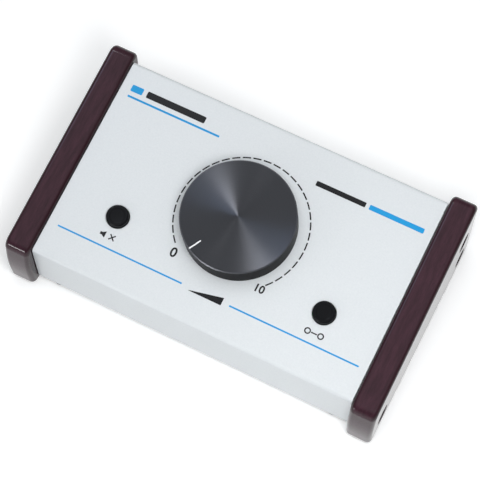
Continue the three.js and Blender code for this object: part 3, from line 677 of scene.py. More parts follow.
def prism(name: str, points: Sequence[Vector], bottom: float, top: float) -> bpy.types.Object:
    """Raises a flat outline between two heights.

    Args:
        name: The piece's name.
        points: The closed outline's points.
        bottom: The lower height.
        top: The upper height.

    Returns:
        The piece.
    """
    piece = trace(name, [Vector((point.x, point.y, bottom)) for point in points], filled=True)
    with editing(piece):
        bpy.ops.mesh.select_all(action="SELECT")
        bpy.ops.mesh.extrude_region_move(TRANSFORM_OT_translate={"value": (0, 0, top - bottom)})
    face_outwards(piece)
    return piece


def rectangle(
    width: float, height: float, rounding: float = 0.0, middle: Vector = Vector((0, 0))
) -> list[Vector]:
    """Draws a rectangle with rounded corners.

    Args:
        width: Its size across.
        height: Its size upwards.
        rounding: The radius of its corners.
        middle: Its middle.

    Returns:
        Its points.
    """
    signs = ((-1, -1), (1, -1), (1, 1), (-1, 1))
    corners = [Corner(right * width / 2, up * height / 2, rounding) for right, up in signs]
    return [point + middle for point in follow(corners, closed=True)]


def hole_cutter(radius: float, depth: float, steps: Steps, lip: float = 0.0) -> bpy.types.Object:
    """Makes the cutter of a round hole that opens at height zero and leaves a chamfer there.

    Args:
        radius: The hole's radius.
        depth: How deep it goes.
        steps: How many steps make the full turn.
        lip: The chamfer's width.

    Returns:
        The cutter.
    """
    corners = [
        Corner(0, -depth),
        Corner(radius, -depth),
        Corner(radius, -lip),
        Corner(radius + lip, 0),
        Corner(radius + lip, OVERRUN),
        Corner(0, OVERRUN),
    ]
    return turned("cutter", corners, steps)


def move(piece: bpy.types.Object, place: Matrix) -> bpy.types.Object:
    """Puts a mesh in a place and leaves its object at the origin.

    Args:
        piece: The piece.
        place: The place, as a transform of the mesh.

    Returns:
        The piece.
    """
    piece.data.transform(place)
    piece.data.update()
    return piece


def gather(pieces: Sequence[bpy.types.Object]) -> bpy.types.Object:
    """Joins pieces that don't touch into one mesh.

    Args:
        pieces: The pieces, which are used up but for the first.

    Returns:
        The first piece, which now holds them all.
    """
    activate(*pieces)
    if len(pieces) > 1:
        bpy.ops.object.join()
    return bpy.context.object


def apply_modifier(piece: bpy.types.Object, kind: str, **settings: Any) -> None:
    """Adds a modifier with its settings and applies it.

    Args:
        piece: The piece.
        kind: Blender's name for the modifier.
        **settings: The modifier's own properties.
    """
    activate(piece)
    modifier = piece.modifiers.new(kind.lower(), kind)
    for name, value in settings.items():
        setattr(modifier, name, value)
    bpy.ops.object.modifier_apply(modifier=modifier.name)


def combine(piece: bpy.types.Object, operation: str, tools: Iterable[bpy.types.Object]) -> bpy.types.Object:
    """Cuts, joins or trims a piece with others, which are used up.

    Args:
        piece: The piece that stays.
        operation: "DIFFERENCE", "UNION" or "INTERSECT".
        tools: Pieces that don't touch each other.

    Returns:
        The piece.
    """
    tool = gather(list(tools))
    apply_modifier(piece, "BOOLEAN", operation=operation, solver="EXACT", object=tool)
    bpy.data.objects.remove(tool)
    return piece


def soften(piece: bpy.types.Object, width: float, segments: int = 2, angle: float = 50.0) -> None:
    """Rounds every edge that turns by more than an angle.

    Args:
        piece: The piece.
        width: How far the rounding reaches from the edge.
        segments: How many faces make it.
        angle: The angle, in degrees.
    """
    limit = {"limit_method": "ANGLE", "angle_limit": math.radians(angle), "use_clamp_overlap": True}
    apply_modifier(piece, "BEVEL", width=width, segments=segments, **limit)


def shade(piece: bpy.types.Object, angle: float = 32.0) -> None:
    """Clears slivers, shades curved faces smooth, keeps edges over an angle sharp and flat faces flat.

    Args:
        piece: The piece.
        angle: The angle, in degrees.
    """
    with editing(piece):
        bpy.ops.mesh.select_all(action="SELECT")
        bpy.ops.mesh.remove_doubles(threshold=SLIVER)
        bpy.ops.mesh.dissolve_degenerate(threshold=SLIVER)
    bpy.ops.object.shade_smooth_by_angle(angle=math.radians(angle))
    apply_modifier(piece, "WEIGHTED_NORMAL", keep_sharp=True)


@dataclass(frozen=True)
class Part:
    """What a finished piece is called, rides on and stands for."""

    name: str
    body: Body
    slot: Slot
    finish: Finish
    nodes: tuple[str, ...] = ()


def deliver(piece: bpy.types.Object, part: Part, place: Matrix) -> bpy.types.Object:
    """Shades a modelled piece, settles it in the controller and gives it its material.

    Args:
        piece: The mesh, in millimetres.
        part: Its name, body, slot, finish and the nodes that it replaces.
        place: From the mesh's millimetres to the controller's metres.

    Returns:
        The finished piece.
    """
    shade(piece)
    move(piece, place)
    piece.name = part.name
    piece.data.name = part.name
    piece.data.materials.clear()
    piece.data.materials.append(material_of(part.finish))
    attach(piece, part.body.value)
    if part.nodes:
        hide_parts(*part.nodes)
    log.info("%s: %d faces", part.name, len(piece.data.polygons))
    return piece


# Places


@dataclass(frozen=True)
class Layout:
    """The driving sizes of the housing and the faces that its pieces are drawn on."""

    width: float = 145.4
    panel_length: float = 92.2
    slope_degrees: float = 8.0
    front_wall: float = 27.6
    underside: float = 4.0
    sheet: float = 1.2
    bend: float = 1.8
    seat: float = 0.05

    @property
    def slope(self) -> float:
        """The panel's slope in radians."""
        return math.radians(self.slope_degrees)

    @property
    def half_depth(self) -> float:
        """From the middle to the front or rear wall."""
        return self.panel_length * math.cos(self.slope) / 2

    @property
    def rear_wall(self) -> float:
        """The height of the rear wall."""
        return self.front_wall + self.panel_length * math.sin(self.slope)

    @property
    def table(self) -> Matrix:
        """From millimetres on the table to metres."""
        return Matrix.Diagonal((MM, MM, MM, 1.0))

    @property
    def panel(self) -> Matrix:
        """From millimetres on the control panel, +Y up the slope and +Z outwards, to metres."""
        middle = self.underside + (self.front_wall + self.rear_wall) / 2
        return self.table @ Matrix.Translation((0, 0, middle)) @ Matrix.Rotation(self.slope, 4, "X")

    @property
    def rear(self) -> Matrix:
        """From millimetres on the rear wall, +Y down and +Z outwards, to metres."""
        return self.table @ Matrix.Translation((0, self.half_depth, 0)) @ Matrix.Rotation(-QUARTER, 4, "X")

    def across(self, x: float) -> Matrix:
        """From a side view, +X to the rear and +Z to the controller's +X, to millimetres on the table."""
        return Matrix(((0, 0, 1, x), (1, 0, 0, 0), (0, 1, 0, 0), (0, 0, 0, 1)))


def middle_of(node: str, place: Matrix) -> Vector:
    """Gives the middle of a node's box in a place's own millimetres."""
    lowest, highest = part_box(node)
    return place.inverted() @ ((lowest + highest) / 2)


def over(node: str, place: Matrix) -> Matrix:
    """Gives the place that is level with a face and straight over a node's middle."""
    spot = middle_of(node, place)
    return place @ Matrix.Translation((spot.x, spot.y, 0))


def normal_of(place: Matrix) -> Vector:
    """Gives a place's own +Z as a direction in the controller."""
    return (place.to_3x3() @ Vector((0, 0, 1))).normalized()


# Screws


@dataclass(frozen=True)
class CrossRecess:
    """The driver's recess of a cross-head screw."""

    span: float
    width: float
    depth: float
    taper: float = 0.62

    def cutter(self, top: float) -> bpy.types.Object:
        """Makes the cutter, which starts above a head's top and narrows downwards.

        Args:
            top: The height of the head's top.

        Returns:
            The cutter.
        """
        arms = []
        for angle in (0, QUARTER):
            arm = prism("cutter", rectangle(self.span, self.width), top - self.depth, top + OVERRUN)
            with editing(arm):
                pick(arm, "FACE", lambda face: face.calc_center_median().z < top - self.depth + MERGE)
                bpy.ops.transform.resize(value=(self.taper, self.taper, 1), center_override=(0, 0, 0))
            arms.append(move(arm, Matrix.Rotation(angle, 4, "Z")))
        return combine(arms[0], "UNION", arms[1:])


@dataclass(frozen=True)
class Screw:
    """A cross-head screw."""

    shank: float
    head: float
    height: float
    length: float
    recess: CrossRecess

    @property
    def top(self) -> float:
        """The height of the head's top."""
        raise NotImplementedError

    def outline(self) -> list[Corner]:
        """Gives the screw's section, from its tip to its top."""
        raise NotImplementedError

    def model(self) -> bpy.types.Object:
        """Turns the screw and cuts its recess."""
        piece = turned("screw", self.outline(), Steps.SCREW)
        return combine(piece, "DIFFERENCE", [self.recess.cutter(self.top)])


@dataclass(frozen=True)
class PanScrew(Screw):
    """A pan-head screw, drawn with the underside of its head at height zero."""

    tip_share: float = 0.35
    rim: float = 0.12
    shoulder_share: float = 0.62
    shoulder_rounding_share: float = 0.5
    crown_rounding_share: float = 0.8

    @property
    def top(self) -> float:
        """The height of the head's top."""
        return self.height

    def outline(self) -> list[Corner]:
        """Gives the screw's section.

        Returns:
            Its corners, from the tip to the top.
        """
        tip = self.shank * self.tip_share
        shoulder = self.height * self.shoulder_share
        crown = self.head * self.shoulder_share
        return [
            Corner(0, -self.length),
            Corner(self.shank - tip, -self.length),
            Corner(self.shank, -self.length + tip),
            Corner(self.shank, 0),
            Corner(self.head, 0, self.rim),
            Corner(self.head, shoulder, self.height * self.shoulder_rounding_share),
            Corner(crown, self.height, self.height * self.crown_rounding_share),
            Corner(0, self.height),
        ]


@dataclass(frozen=True)
class FlatScrew(Screw):
    """A countersunk screw, drawn with the top of its head at height zero."""

    rim: float = 0.18
    rounding: float = 0.08

    @property
    def top(self) -> float:
        """The height of the head's top."""
        return 0.0

    def outline(self) -> list[Corner]:
        """Gives the screw's section.

        Returns:
            Its corners, from the tip to the top.
        """
        return [
            Corner(0, -self.length),
            Corner(self.shank, -self.length),
            Corner(self.shank, -self.height),
            Corner(self.head, -self.rim, self.rounding),
            Corner(self.head, 0, self.rounding),
            Corner(0, 0),
        ]


# Housing


def folded_sheet(corners: Sequence[Corner], width: float, thickness: float) -> bpy.types.Object:
    """Folds a sheet along its outer corners, drawn from the side, and makes it so wide along +Z.

    Args:
        corners: The outer corners, in order. They go round the space that the sheet encloses.
        width: The sheet's width.
        thickness: The sheet's thickness, which lies inside the corners.

    Returns:
        The sheet.
    """
    outline = follow(corners)
    piece = trace("sheet", [Vector((point.x, point.y, 0.0)) for point in outline])
    with editing(piece):
        bpy.ops.mesh.select_all(action="SELECT")
        bpy.ops.mesh.extrude_region_move(TRANSFORM_OT_translate={"value": (0, 0, width)})
        bpy.ops.mesh.select_all(action="SELECT")
        bpy.ops.mesh.normals_make_consistent(inside=False)
    middle = Vector([(min(spread) + max(spread)) / 2 for spread in zip(*outline)])
    outwards = sum(face.area * face.normal.xy.dot(face.center.xy - middle) for face in piece.data.polygons)
    if outwards < 0:
        with editing(piece):
            bpy.ops.mesh.select_all(action="SELECT")
            bpy.ops.mesh.flip_normals()
    apply_modifier(piece, "SOLIDIFY", thickness=thickness, offset=-1.0, use_even_offset=True)
    face_outwards(piece)
    return piece


@dataclass(frozen=True)
class BodyShell:
    """The painted steel sheet that makes the front wall, the control panel and the rear wall."""

    return_flange: float = 13.0
    hole_lip: float = 0.2
    edge: float = 0.15
    button_hole: float = 5.0
    bushing_hole: float = 3.8
    socket_hole: float = 12.0
    screw_hole: float = 1.8
    mini_hole: float = 3.3

    def build(self, layout: Layout) -> None:
        """Folds the sheet, cuts its holes and paints it.

        Args:
            layout: The housing's sizes and faces.
        """
        half = layout.half_depth
        base = layout.underside
        corners = [
            Corner(half - self.return_flange, base),
            Corner(half, base, layout.bend),
            Corner(half, base + layout.rear_wall, layout.bend),
            Corner(-half, base + layout.front_wall, layout.bend),
            Corner(-half, base, layout.bend),
            Corner(self.return_flange - half, base),
        ]
        sheet = folded_sheet(corners, layout.width, layout.sheet)
        soften(sheet, self.edge)
        move(sheet, layout.across(-layout.width / 2))
        combine(sheet, "DIFFERENCE", [*self.wall_holes(layout), *self.foot_holes(layout)])
        part = Part("body_shell_sheet", Body.HOUSING, Slot.PAINT, POWDER_COAT, ("body_shell",))
        deliver(sheet, part, layout.table)

    def wall_holes(self, layout: Layout) -> Iterator[bpy.types.Object]:
        """Makes the cutters of the holes in the panel and in the rear wall.

        Args:
            layout: The housing's sizes and faces.

        Yields:
            Each cutter, in millimetres on the table.
        """
        through = layout.sheet + OVERRUN
        to_table = layout.table.inverted()
        buttons = {f"{side}_button_cap": self.button_hole for side in SIDES}
        sockets = {f"{name}_shell": self.socket_hole for name in SOCKET_NAMES}
        screws = {
            f"{name}_screw_{end}": self.screw_hole for name in SOCKET_NAMES for end in FLANGE_SCREW_NAMES
        }
        faces = (
            (layout.panel, Steps.BARREL, {**buttons, "pot_washer": self.bushing_hole}),
            (layout.rear, Steps.HOLE, {**sockets, **screws, "mini_jack_nut": self.mini_hole}),
        )
        for face, steps, holes in faces:
            for node, radius in holes.items():
                yield move(hole_cutter(radius, through, steps, self.hole_lip), to_table @ over(node, face))

    def foot_holes(self, layout: Layout) -> Iterator[bpy.types.Object]:
        """Makes the cutters of the holes that the foot screws pass.

        Args:
            layout: The housing's sizes and faces.

        Yields:
            Each cutter, in millimetres on the table.
        """
        height = layout.underside + layout.sheet + OVERRUN / 2
        for corner in FOOT_NAMES:
            spot = middle_of(f"foot_{corner}", layout.table)
            cutter = hole_cutter(self.screw_hole, layout.sheet + OVERRUN, Steps.HIDDEN_HOLE)
            yield move(cutter, Matrix.Translation((spot.x, spot.y, height)))


@dataclass(frozen=True)
class BottomTray:
    """The zinc-plated floor with its two side walls and the nuts pressed into them."""

    nut_radius: float = 3.2
    nut_height: float = 1.6
    nut_rounding: float = 0.2
    foot_hole: float = 1.8
    cheek_hole: float = 2.3
    gap_to_panel: float = 0.3
    edge: float = 0.12

    def build(self, layout: Layout) -> None:
        """Folds the channel, trims it under the panel and presses in the nuts.

        Args:
            layout: The housing's sizes and faces.
        """
        half = layout.width / 2
        floor = layout.underside + layout.sheet + layout.seat
        top = layout.underside + layout.rear_wall
        depth = 2 * (layout.half_depth - layout.bend)
        corners = [
            Corner(-half, top),
            Corner(-half, floor, layout.bend),
            Corner(half, floor, layout.bend),
            Corner(half, top),
        ]
        tray = folded_sheet(corners, depth, layout.sheet)
        move(tray, Matrix.Translation((0, depth / 2, 0)) @ Matrix.Rotation(QUARTER, 4, "X"))
        under_panel = layout.table.inverted() @ layout.panel
        cut = under_panel @ Vector((0, 0, -(layout.sheet + self.gap_to_panel)))
        with editing(tray):
            bpy.ops.mesh.select_all(action="SELECT")
            bpy.ops.mesh.bisect(
                plane_co=cut, plane_no=normal_of(under_panel), use_fill=True, clear_outer=True
            )
        face_outwards(tray)
        soften(tray, self.edge)
        nuts = []
        holes = []
        for place, hole in [*self.foot_places(layout, floor), *self.cheek_places(layout)]:
            nuts.append(move(self.nut(layout), place))
            depth = layout.sheet + self.nut_height + 2 * OVERRUN
            holes.append(move(hole_cutter(hole, depth, Steps.HIDDEN_HOLE), place))
        combine(tray, "UNION", nuts)
        combine(tray, "DIFFERENCE", holes)
        part = Part("bottom_tray_sheet", Body.HOUSING, Slot.ZINC, ZINC_PLATE, ("bottom_tray",))
        deliver(tray, part, layout.table)

    def nut(self, layout: Layout) -> bpy.types.Object:
        """Turns a press-in nut, drawn with the outer face of the sheet at height zero.

        Args:
            layout: The housing's sizes and faces.

        Returns:
            The nut, without its hole.
        """
        inner = layout.sheet + self.nut_height
        corners = [
            Corner(0, -inner),
            Corner(self.nut_radius, -inner, self.nut_rounding),
            Corner(self.nut_radius, -self.edge),
            Corner(0, -self.edge),
        ]
        return turned("nut", corners, Steps.SCREW)

    def foot_places(self, layout: Layout, floor: float) -> Iterator[tuple[Matrix, float]]:
        """Finds where the foot nuts sit.

        Args:
            layout: The housing's sizes and faces.
            floor: The height of the tray's underside.

        Yields:
            A place with -Z into the housing, and the radius of its hole.
        """
        for corner in FOOT_NAMES:
            spot = middle_of(f"foot_{corner}", layout.table)
            upside_down = Matrix.Rotation(math.pi, 4, "X")
            yield Matrix.Translation((spot.x, spot.y, floor)) @ upside_down, self.foot_hole

    def cheek_places(self, layout: Layout) -> Iterator[tuple[Matrix, float]]:
        """Finds where the cheek nuts sit.

        Args:
            layout: The housing's sizes and faces.

        Yields:
            A place with -Z into the housing, and the radius of its hole.
        """
        for side, sign in SIDES.items():
            for end in CHEEK_SCREW_NAMES:
                spot = middle_of(f"{side}_cheek_screw_{end}", layout.table)
                wall = Matrix.Translation((sign * layout.width / 2, spot.y, spot.z))
                yield wall @ Matrix.Rotation(sign * QUARTER, 4, "Y"), self.cheek_hole


@dataclass(frozen=True)
class PlankEnd:
    """One end of a cheek, seen from the side.

    The upper corner passes the wall by the overhang, and the lower corner stands out further by the
    lean. The end bows out between them, and the upper corner has its own radius.
    """

    overhang: float
    lean: float
    bow: float
    corner: float


@dataclass(frozen=True)
class Cheeks:
    """The two lacquered planks and the screws that hold them."""

    thickness: float = 11.4
    gap: float = 0.3
    proud: float = 2.0
    front: PlankEnd = PlankEnd(2.9, 0.7, 1.65, 5.0)
    rear: PlankEnd = PlankEnd(4.1, 0.2, 0.36, 4.5)
    drop: float = 3.0
    edge: float = 2.0
    edge_faces: int = 8
    foot_corner: float = 3.2
    corner_room: float = 1.6
    fine_step: float = math.radians(3)
    counterbore: float = 4.3
    counterbore_depth: float = 5.2
    counterbore_lip: float = 0.35
    screw: Screw = PanScrew(2.0, 3.6, 2.2, 9.0, CrossRecess(4.0, 0.95, 1.5))

    def build(self, layout: Layout) -> None:
        """Shapes both planks and sets their screws.

        Args:
            layout: The housing's sizes and faces.
        """
        for side, sign in SIDES.items():
            part = Part(f"{side}_cheek_plank", Body.HOUSING, Slot.WOOD, CHEEK_WOOD, (f"{side}_cheek",))
            deliver(self.plank(layout, side, sign), part, layout.table)
            for end in CHEEK_SCREW_NAMES:
                self.set_screw(layout, f"{side}_cheek_screw_{end}", sign)

    def plank(self, layout: Layout, side: str, sign: int) -> bpy.types.Object:
        """Saws a plank to its outline, rounds its edges and bores it for the screws.

        Args:
            layout: The housing's sizes and faces.
            side: "left" or "right".
            sign: The side of the middle that the plank is on.

        Returns:
            The plank, in millimetres on the table.
        """
        half = self.thickness / 2
        piece = prism("plank", self.outline(layout), -half, half)
        with editing(piece):
            pick(piece, "EDGE", lambda edge: abs(edge.verts[0].co.z - edge.verts[1].co.z) < MERGE)
            bpy.ops.mesh.bevel(offset=self.edge, segments=self.edge_faces, profile=0.5, affect="EDGES")
        inner = layout.width / 2 + self.gap
        move(piece, layout.across(sign * (inner + half)))
        bores = []
        for name in CHEEK_SCREW_NAMES:
            spot = middle_of(f"{side}_cheek_screw_{name}", layout.table)
            outer = Matrix.Translation((sign * (inner + self.thickness), spot.y, spot.z))
            bores.append(move(self.bore_cutter(), outer @ Matrix.Rotation(sign * QUARTER, 4, "Y")))
        return combine(piece, "DIFFERENCE", bores)

    def outline(self, layout: Layout) -> list[Vector]:
        """Draws a plank from the side. Each end bows out between its rounded corners.

        Args:
            layout: The housing's sizes and faces.

        Returns:
            The outline's points.
        """
        lift = self.proud / math.cos(layout.slope)
        bottom = layout.underside - self.drop
        corners = []
        for sign, wall, end in ((1, layout.rear_wall, self.rear), (-1, layout.front_wall, self.front)):
            upper = layout.half_depth + end.overhang
            lower = upper + end.lean
            reach = (upper + lower) / 2 + end.bow
            top = layout.underside + wall + lift + sign * end.overhang * math.tan(layout.slope)
            middle = (bottom + top) / 2
            turn = math.atan((reach - upper) / (top - middle))
            turn += math.atan((reach - lower) / (middle - bottom))
            free = min(middle - bottom - self.foot_corner, top - middle - self.corner_room * end.corner)
            foot = Corner(sign * lower, bottom, self.foot_corner)
            bowed = Corner(sign * reach, middle, free / math.tan(turn / 2))
            crown = Corner(sign * upper, top, end.corner)
            corners += [foot, bowed, crown] if sign > 0 else [crown, bowed, foot]
        return follow(corners, closed=True, step=self.fine_step)

    def bore_cutter(self) -> bpy.types.Object:
        """Makes the cutter of a counterbore and of the hole for the screw's shank.

        Returns:
            The cutter, which opens at height zero.
        """
        hole = self.screw.shank + self.gap
        corners = [
            Corner(0, -self.thickness - OVERRUN),
            Corner(hole, -self.thickness - OVERRUN),
            Corner(hole, -self.counterbore_depth),
            Corner(self.counterbore, -self.counterbore_depth),
            Corner(self.counterbore, -self.counterbore_lip),
            Corner(self.counterbore + self.counterbore_lip, 0),
            Corner(self.counterbore + self.counterbore_lip, OVERRUN),
            Corner(0, OVERRUN),
        ]
        return turned("cutter", corners, Steps.HOLE)

    def set_screw(self, layout: Layout, node: str, sign: int) -> None:
        """Sets one screw in its counterbore.

        Args:
            layout: The housing's sizes and faces.
            node: The screw's node.
            sign: The side of the middle that the screw is on.
        """
        spot = middle_of(node, layout.table)
        lowest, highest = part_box(node)
        top = (highest.x if sign > 0 else lowest.x) / MM
        under_head = Matrix.Translation((top - sign * self.screw.height, spot.y, spot.z))
        place = layout.table @ under_head @ Matrix.Rotation(sign * QUARTER, 4, "Y")
        part = Part(f"{node}_cross_head", Body.HOUSING, Slot.BLACK_STEEL, BLACK_OXIDE, (node,))
        deliver(self.screw.model(), part, place)


@dataclass(frozen=True)
class Feet:
    """The four rubber feet and the screws through them."""

    height: float = 4.0
    radius: float = 5.0
    taper: float = 0.3
    edge: float = 0.6
    top_edge: float = 0.15
    recess: float = 2.8
    recess_depth: float = 2.2
    recess_edge: float = 0.2
    hole: float = 1.8
    screw: Screw = PanScrew(1.5, 2.5, 1.5, 5.9, CrossRecess(2.9, 0.7, 1.0))

    def build(self, layout: Layout) -> None:
        """Moulds the feet and sets their screws.

        Args:
            layout: The housing's sizes and faces.
        """
        top = self.height - layout.seat
        tip = self.radius - self.taper
        start = Corner((self.recess + tip) / 2, 0)
        outline = [
            start,
            Corner(tip, 0, self.edge),
            Corner(self.radius, top, self.top_edge),
            Corner(self.hole, top),
            Corner(self.hole, self.recess_depth),
            Corner(self.recess, self.recess_depth, self.recess_edge),
            Corner(self.recess, 0, self.recess_edge),
            start,
        ]
        seat = Matrix.Translation((0, 0, self.recess_depth - layout.seat))
        for corner in FOOT_NAMES:
            ground = over(f"foot_{corner}", layout.table)
            part = Part(f"foot_{corner}_moulding", Body.HOUSING, Slot.RUBBER, RUBBER, (f"foot_{corner}",))
            deliver(turned("foot", outline, Steps.BARREL), part, ground)
            node = f"foot_screw_{corner}"
            screw = Part(f"{node}_cross_head", Body.HOUSING, Slot.BRIGHT_STEEL, NICKEL_PLATE, (node,))
            deliver(self.screw.model(), screw, ground @ seat @ Matrix.Rotation(math.pi, 4, "X"))


# Volume knob


@dataclass(frozen=True)
class VolumeKnob:
    """The turned knob with its spun face and white pointer."""

    radius: float = 24.0
    top: float = 12.3
    lift: float = 0.8
    chamfer: float = 0.45
    wall: float = 4.0
    crown: float = 2.6
    cavity_root: float = 1.0
    cavity_edge: float = 0.2
    hub: float = 8.0
    hub_lift: float = 4.2
    hub_root: float = 0.8
    hub_edge: float = 0.3
    bore: float = 3.05
    pointer_length: float = 6.0
    pointer_width: float = 0.6
    pointer_depth: float = 0.25
    pointer_degrees: float = 240.0
    fill_height: float = 0.5
    fill_overlap: float = 0.02
    fill_inset: float = 0.06
    access_radius: float = 1.8
    access_height: float = 7.6
    access_lip: float = 0.2
    break_edge: float = 0.1
    face_depth: float = MERGE * 10
    face_facing: float = 0.99
    chamfer_facing: float = 0.5

    def build(self, layout: Layout) -> None:
        """Turns the knob, cuts its pointer and its set-screw hole and fills the pointer.

        Args:
            layout: The housing's sizes and faces.
        """
        place = over("volume_knob", layout.panel)
        pointer_turn = Matrix.Rotation(math.radians(self.pointer_degrees), 4, "Z")
        knob = turned("knob", self.outline(0.0), Steps.KNOB)
        access = hole_cutter(self.access_radius, self.radius - self.bore, Steps.SMALL_HOLE, self.access_lip)
        rim = Matrix.Translation((-self.radius, 0, self.access_height))
        move(access, pointer_turn @ (rim @ Matrix.Rotation(-QUARTER, 4, "Y")))
        groove = move(self.pointer_block(self.pointer_width, OVERRUN), pointer_turn)
        combine(knob, "DIFFERENCE", [access, groove])
        part = Part("volume_knob_turning", Body.VOLUME, Slot.ANODISED, TURNED_WALL, ("volume_knob",))
        deliver(knob, part, place)
        self.face_off(knob, place)
        fill_width = self.pointer_width + self.fill_overlap
        fill = move(self.pointer_block(fill_width, self.fill_height), pointer_turn)
        combine(fill, "INTERSECT", [turned("trim", self.outline(self.fill_inset), Steps.KNOB)])
        pointer = Part("volume_knob_pointer", Body.VOLUME, Slot.WHITE_FILL, WHITE_ENAMEL)
        deliver(fill, pointer, place)

    def face_off(self, knob: bpy.types.Object, place: Matrix) -> None:
        """Gives the knob's face its spun finish and the chamfer round it its bright one.

        Args:
            knob: The finished knob.
            place: From the knob's millimetres to metres.
        """
        axis = normal_of(place)
        centre = place @ Vector((0, 0, self.top)) / MM
        name = "black_anodised_spun_aluminium"
        face = SpunMetal(name, "#545559", 0.35, tuple(centre), tuple(axis), self.radius, metallic=1.0)
        knob.data.materials.append(material_of(face))
        knob.data.materials.append(material_of(CUT_EDGE))
        for polygon in knob.data.polygons:
            height = (place.inverted() @ polygon.center).z
            facing = polygon.normal.dot(axis)
            if height > self.top - self.face_depth and facing > self.face_facing:
                polygon.material_index = 1
            elif height > self.top - self.chamfer and facing > self.chamfer_facing:
                polygon.material_index = 2

    def outline(self, inset: float) -> list[Corner]:
        """Draws the knob's section.

        Args:
            inset: How far its outside is drawn in.

        Returns:
            Its corners, which end where they start.
        """
        ceiling = self.top - self.crown
        cavity = self.radius - self.wall
        rim = self.radius - inset
        top = self.top - inset
        return [
            Corner(self.bore, self.hub_lift),
            Corner(self.hub, self.hub_lift, self.hub_edge),
            Corner(self.hub, ceiling, self.hub_root),
            Corner(cavity, ceiling, self.cavity_root),
            Corner(cavity, self.lift, self.cavity_edge),
            Corner(rim - self.chamfer, self.lift, self.break_edge),
            Corner(rim, self.lift + self.chamfer, self.break_edge),
            Corner(rim, top - self.chamfer, self.break_edge),
            Corner(rim - self.chamfer, top, self.break_edge),
            Corner(0, top),
            Corner(0, ceiling),
            Corner(self.bore, ceiling),
            Corner(self.bore, self.hub_lift),
        ]

    def pointer_block(self, width: float, above: float) -> bpy.types.Object:
        """Makes a bar along +X, from the pointer's inner end past the rim.

        Args:
            width: The bar's width.
            above: How far it stands over the face. It goes down to the pointer's depth.

        Returns:
            The bar.
        """
        length = self.pointer_length + OVERRUN
        middle = Vector((self.radius - self.pointer_length + length / 2, 0))
        bottom = self.top - self.pointer_depth
        return prism("pointer", rectangle(length, width, 0, middle), bottom, self.top + above)


# Push buttons


@dataclass(frozen=True)
class PushButtons:
    """The two moulded button caps."""

    radius: float = 4.7
    proud: float = 2.2
    skirt: float = -2.95
    skirt_edge: float = 0.15
    chamfer: float = 0.5
    wall: float = 0.9
    crown: float = 1.3
    post: float = 2.9
    inner_root: float = 0.3
    dish: float = 3.3
    dish_depth: float = 0.25
    dish_slope_share: float = 0.6
    dish_rounding: float = 0.4
    break_edge: float = 0.12

    def build(self, layout: Layout) -> None:
        """Moulds both caps.

        Args:
            layout: The housing's sizes and faces.
        """
        ceiling = self.proud - self.crown
        inner = self.radius - self.wall
        corners = [
            Corner(0, self.skirt),
            Corner(self.post, self.skirt, self.skirt_edge),
            Corner(self.post, ceiling, self.inner_root),
            Corner(inner, ceiling, self.inner_root),
            Corner(inner, self.skirt, self.skirt_edge),
            Corner(self.radius, self.skirt, self.skirt_edge),
            Corner(self.radius, self.proud - self.chamfer, self.break_edge),
            Corner(self.radius - self.chamfer, self.proud, self.break_edge),
            Corner(self.dish, self.proud, self.dish_rounding),
            Corner(
                self.dish - self.dish_depth,
                self.proud - self.dish_depth * self.dish_slope_share,
                self.dish_rounding,
            ),
            Corner(0, self.proud - self.dish_depth),
        ]
        for side, body in (("left", Body.LEFT_BUTTON), ("right", Body.RIGHT_BUTTON)):
            node = f"{side}_button_cap"
            part = Part(f"{side}_button_moulding", body, Slot.BUTTON, BUTTON_ABS, (node,))
            deliver(turned("button", corners, Steps.SOCKET), part, over(node, layout.panel))


# Print on the panel


@dataclass(frozen=True)
class Bar:
    """A straight printed bar."""

    middle: tuple[float, float]
    length: float
    width: float


@dataclass(frozen=True)
class LoudspeakerSign:
    """A loudspeaker with a cross beside it, drawn about its middle."""

    place: tuple[float, float] = (-47.1, -27.0)
    back: float = -3.6
    throat: float = -2.6
    mouth: float = -1.2
    magnet_half: float = 0.6
    mouth_half: float = 1.5
    rounding: float = 0.1
    cross_offset: float = 1.9
    cross_length: float = 3.4
    cross_width: float = 0.55


@dataclass(frozen=True)
class TwoRingSign:
    """Two rings joined by a bar, two channels made one, drawn about its middle."""

    place: tuple[float, float] = (47.1, -27.4)
    inner: float = 0.85
    outer: float = 1.4
    offset: float = 2.9
    link: float = 2.6
    link_width: float = 0.55


